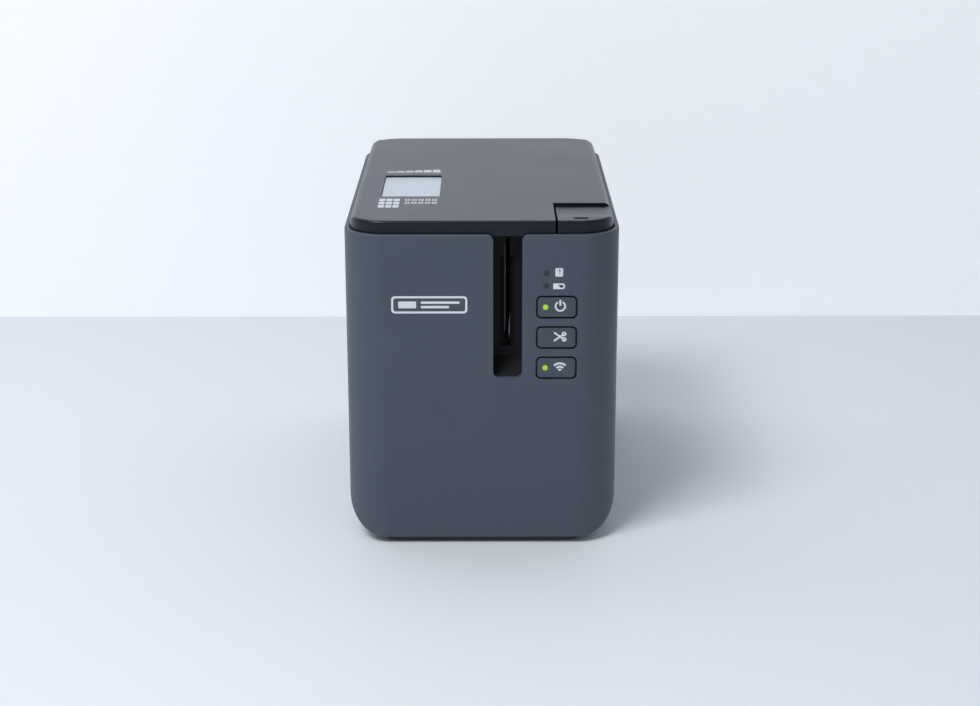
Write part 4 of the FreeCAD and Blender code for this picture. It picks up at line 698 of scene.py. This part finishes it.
def cover_marks():
    """Plain marks on the cover: a stepped wedge behind the window, with tiles and rings in front of it."""
    low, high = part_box("cover_window")
    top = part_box("top_cover")[1].z - INK_SINK
    middle = (low.x + high.x) / 2
    printed("width_gauge", [width_gauge()], (middle, high.y + GAUGE_BEHIND_WINDOW, top), TOP_FACE,
            "pale_print", "cover")
    at = (middle, low.y - TILES_BEFORE_WINDOW, top)
    printed("format_tiles", [tile_outlines() + dot_outlines()], at, TOP_FACE, "pale_print", "cover")


def cassette_marks():
    """Printing on the cassette's label: a wide dark band, a small dark block and three rules."""
    low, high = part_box("cassette_label")
    middle = (low + high) / 2
    shapes = [pad(-17.0, 20.0, 17.0, 31.0, 0.8), pad(-17.0, -31.0, -4.0, -22.0, 0.8)]
    shapes += [pad(-0.5, -31.0 + 4.0 * k, 16.0 - 3.0 * k, -29.6 + 4.0 * k, 0.3) for k in range(3)]
    printed("cassette_print", [shapes], (middle.x, middle.y, high.z), TOP_FACE, "dark_print", "case")


# ---------------------------------------------------------------- small fittings
def blocks(name, boxes, look, body, soft):
    """One mesh of small blocks with softened edges. Each block is its low and high corner, in metres."""
    form = bmesh.new()
    for low, high in boxes:
        made = bmesh.ops.create_cube(form, size=1.0)["verts"]
        size = Vector(high) - Vector(low)
        middle = (Vector(high) + Vector(low)) / 2
        for vert in made:
            vert.co = Vector([vert.co[k] * size[k] + middle[k] for k in range(3)])
    mesh = bpy.data.meshes.new(name)
    form.to_mesh(mesh)
    form.free()
    obj = piece(name, mesh, look, body)
    bevel = obj.modifiers.new("soft_edges", "BEVEL")
    bevel.width = soft * MM
    bevel.segments = 2
    return obj


def tube(name, path, radius, sides=10):
    """Mesh of a round wire along a path of points, with flat ends."""
    form = bmesh.new()
    loops = []
    for k, point in enumerate(path):
        along = (path[min(k + 1, len(path) - 1)] - path[max(k - 1, 0)]).normalized()
        across = along.cross(Vector((0, 0, 1))).normalized()
        up = across.cross(along)
        turns = [2 * math.pi * n / sides for n in range(sides)]
        loops.append([form.verts.new(point + radius * (math.cos(a) * across + math.sin(a) * up))
                      for a in turns])
    for one, two in zip(loops, loops[1:]):
        for n in range(sides):
            form.faces.new((one[n], one[(n + 1) % sides], two[(n + 1) % sides], two[n]))
    form.faces.new(loops[0][::-1])
    form.faces.new(loops[-1])
    bmesh.ops.recalc_face_normals(form, faces=form.faces)
    mesh = bpy.data.meshes.new(name)
    form.to_mesh(mesh)
    form.free()
    mesh.shade_smooth()
    return mesh


SPRING_TURNS = 5
SPRING_WIRE = 0.35 * MM
STEPS_PER_TURN = 24


def release_coil():
    """The button's spring as a coil of wire. It takes the place of the CAD one."""
    low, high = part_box("release_spring")
    middle = (low + high) / 2
    radius = (high.x - low.x) / 2 - SPRING_WIRE
    climb = high.z - low.z - 2 * SPRING_WIRE
    steps = STEPS_PER_TURN * SPRING_TURNS
    path = []
    for k in range(steps + 1):
        turn = 2 * math.pi * SPRING_TURNS * k / steps
        path.append(Vector((middle.x + radius * math.cos(turn), middle.y + radius * math.sin(turn),
                            low.z + SPRING_WIRE + climb * k / steps)))
    coil = piece("release_coil", tube("release_coil", path, SPRING_WIRE), "steel", "case")
    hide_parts("release_spring")
    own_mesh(coil)


CONTACT_PITCH = 1.02 * MM
CONTACT_WIDE = 0.4 * MM
CONTACT_THICK = 0.5 * MM
CONTACT_INNER = 9.0 * MM
CONTACT_OUTER = 2.0 * MM
CONTACT_LEFT = 3.6 * MM
CONTACT_UP = 2.9 * MM


def socket_contacts():
    """Gold contact blades inside the network socket."""
    low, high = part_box("lan_socket")
    x0 = (low.x + high.x) / 2 - CONTACT_LEFT
    z = (low.z + high.z) / 2 + CONTACT_UP
    blades = []
    for k in range(8):
        x = x0 + k * CONTACT_PITCH
        blades.append(((x, high.y - CONTACT_INNER, z),
                       (x + CONTACT_WIDE, high.y - CONTACT_OUTER, z + CONTACT_THICK)))
    blocks("network_contacts", blades, "contact", "case", 0.05)


# ---------------------------------------------------------------- stage, light and camera
def see_through_back(surface):
    """Makes a backdrop clear from behind, so that it never hides the object."""
    mix = surface.node("ShaderNodeMixShader")
    surface.put(mix.inputs[0], surface.node("ShaderNodeNewGeometry").outputs["Backfacing"])
    surface.put(mix.inputs[1], surface.shader.outputs["BSDF"])
    surface.put(mix.inputs[2], surface.node("ShaderNodeBsdfTransparent").outputs["BSDF"])
    surface.put(surface.output.inputs["Surface"], mix.outputs["Shader"])


def stage_plane(name, corners, colour, rough, glow=0.0):
    """One flat part of the backdrop, with a faint uneven tint."""
    mesh = bpy.data.meshes.new(name)
    mesh.from_pydata(corners, [], [(0, 1, 2, 3)])
    obj = bpy.data.objects.new(name, mesh)
    SCENE.collection.objects.link(obj)
    s = Surface(name)
    tint = s.noise(0.6, 2.0)
    s.set(Base_Color=s.blend(s.span(tint, 0.3, 0.7), colour, scaled(colour, 1.015)))
    s.set(Roughness=rough, Specular_IOR_Level=0.2, Emission_Color=colour, Emission_Strength=glow)
    see_through_back(s)
    mesh.materials.append(s.material)


WALL_Y = 0.271
STAGE_REACH = 3.0
WALL_TOP = 2.6


def make_stage():
    """Pale floor and wall. The wall stands behind the object and glows a little."""
    low = CAD_BOX[0].z
    side, back, top = STAGE_REACH, WALL_Y, WALL_TOP
    stage_plane("floor", [(-side, -side, low), (side, -side, low), (side, back, low), (-side, back, low)],
                srgb(222, 227, 233), 0.6)
    stage_plane("wall", [(-side, back, low), (side, back, low), (side, back, top), (-side, back, top)],
                srgb(240, 243, 247), 0.8, 0.2)


WORLD_COLOUR = (0.86, 0.91, 1.0, 1.0)
WORLD_STRENGTH = 0.35
LIGHT_AT = (-0.54, -0.73, 1.26)
LIGHT_SIDE = 0.6
LIGHT_POWER = 14.2
LIGHT_COLOUR = (1.0, 0.985, 0.97)


def make_key_light():
    light = bpy.data.lights.new("key_light", "AREA")
    light.shape = "RECTANGLE"
    light.size = LIGHT_SIDE
    light.size_y = LIGHT_SIDE
    light.energy = LIGHT_POWER
    light.color = LIGHT_COLOUR
    obj = bpy.data.objects.new("key_light", light)
    obj.location = LIGHT_AT
    middle = (CAD_BOX[0] + CAD_BOX[1]) / 2
    obj.rotation_euler = (middle - Vector(LIGHT_AT)).to_track_quat("-Z", "Y").to_euler()
    SCENE.collection.objects.link(obj)


def make_light():
    """A soft box from the upper left front, and a pale sky all round."""
    world = bpy.data.worlds.new("studio")
    world.use_nodes = True
    back = world.node_tree.nodes["Background"]
    back.inputs["Color"].default_value = WORLD_COLOUR
    back.inputs["Strength"].default_value = WORLD_STRENGTH
    SCENE.world = world
    make_key_light()


CAMERA_AT = (2.5 * MM, -888.5 * MM, 328.9 * MM)
CAMERA_DOWN = math.radians(16.93)
CAMERA_TURN = math.radians(-0.07)
CAMERA_ROLL = math.radians(-0.06)
CAMERA_LENS = 71.02
CAMERA_NEAR = 0.05
CAMERA_FAR = 20.0
SENSOR = 36.0


def make_camera():
    data = bpy.data.cameras.new("camera")
    data.sensor_width = SENSOR
    data.lens = CAMERA_LENS
    data.clip_start = CAMERA_NEAR
    data.clip_end = CAMERA_FAR
    obj = bpy.data.objects.new("camera", data)
    level = Vector((-math.sin(CAMERA_TURN), math.cos(CAMERA_TURN), 0.0))
    side = Vector((math.cos(CAMERA_TURN), math.sin(CAMERA_TURN), 0.0))
    forward = math.cos(CAMERA_DOWN) * level - math.sin(CAMERA_DOWN) * Vector((0, 0, 1))
    up = math.sin(CAMERA_DOWN) * level + math.cos(CAMERA_DOWN) * Vector((0, 0, 1))
    right = math.cos(CAMERA_ROLL) * side + math.sin(CAMERA_ROLL) * up
    upright = math.cos(CAMERA_ROLL) * up - math.sin(CAMERA_ROLL) * side
    turn = Matrix((right, upright, -forward)).transposed().to_4x4()
    obj.matrix_world = Matrix.Translation(Vector(CAMERA_AT)) @ turn
    SCENE.collection.objects.link(obj)
    SCENE.camera = obj


dress_nodes()
front_symbols()
port_symbols()
cover_marks()
cassette_marks()
socket_contacts()
release_coil()
make_stage()
make_light()
make_camera()
SCENE.view_settings.view_transform = "Standard"
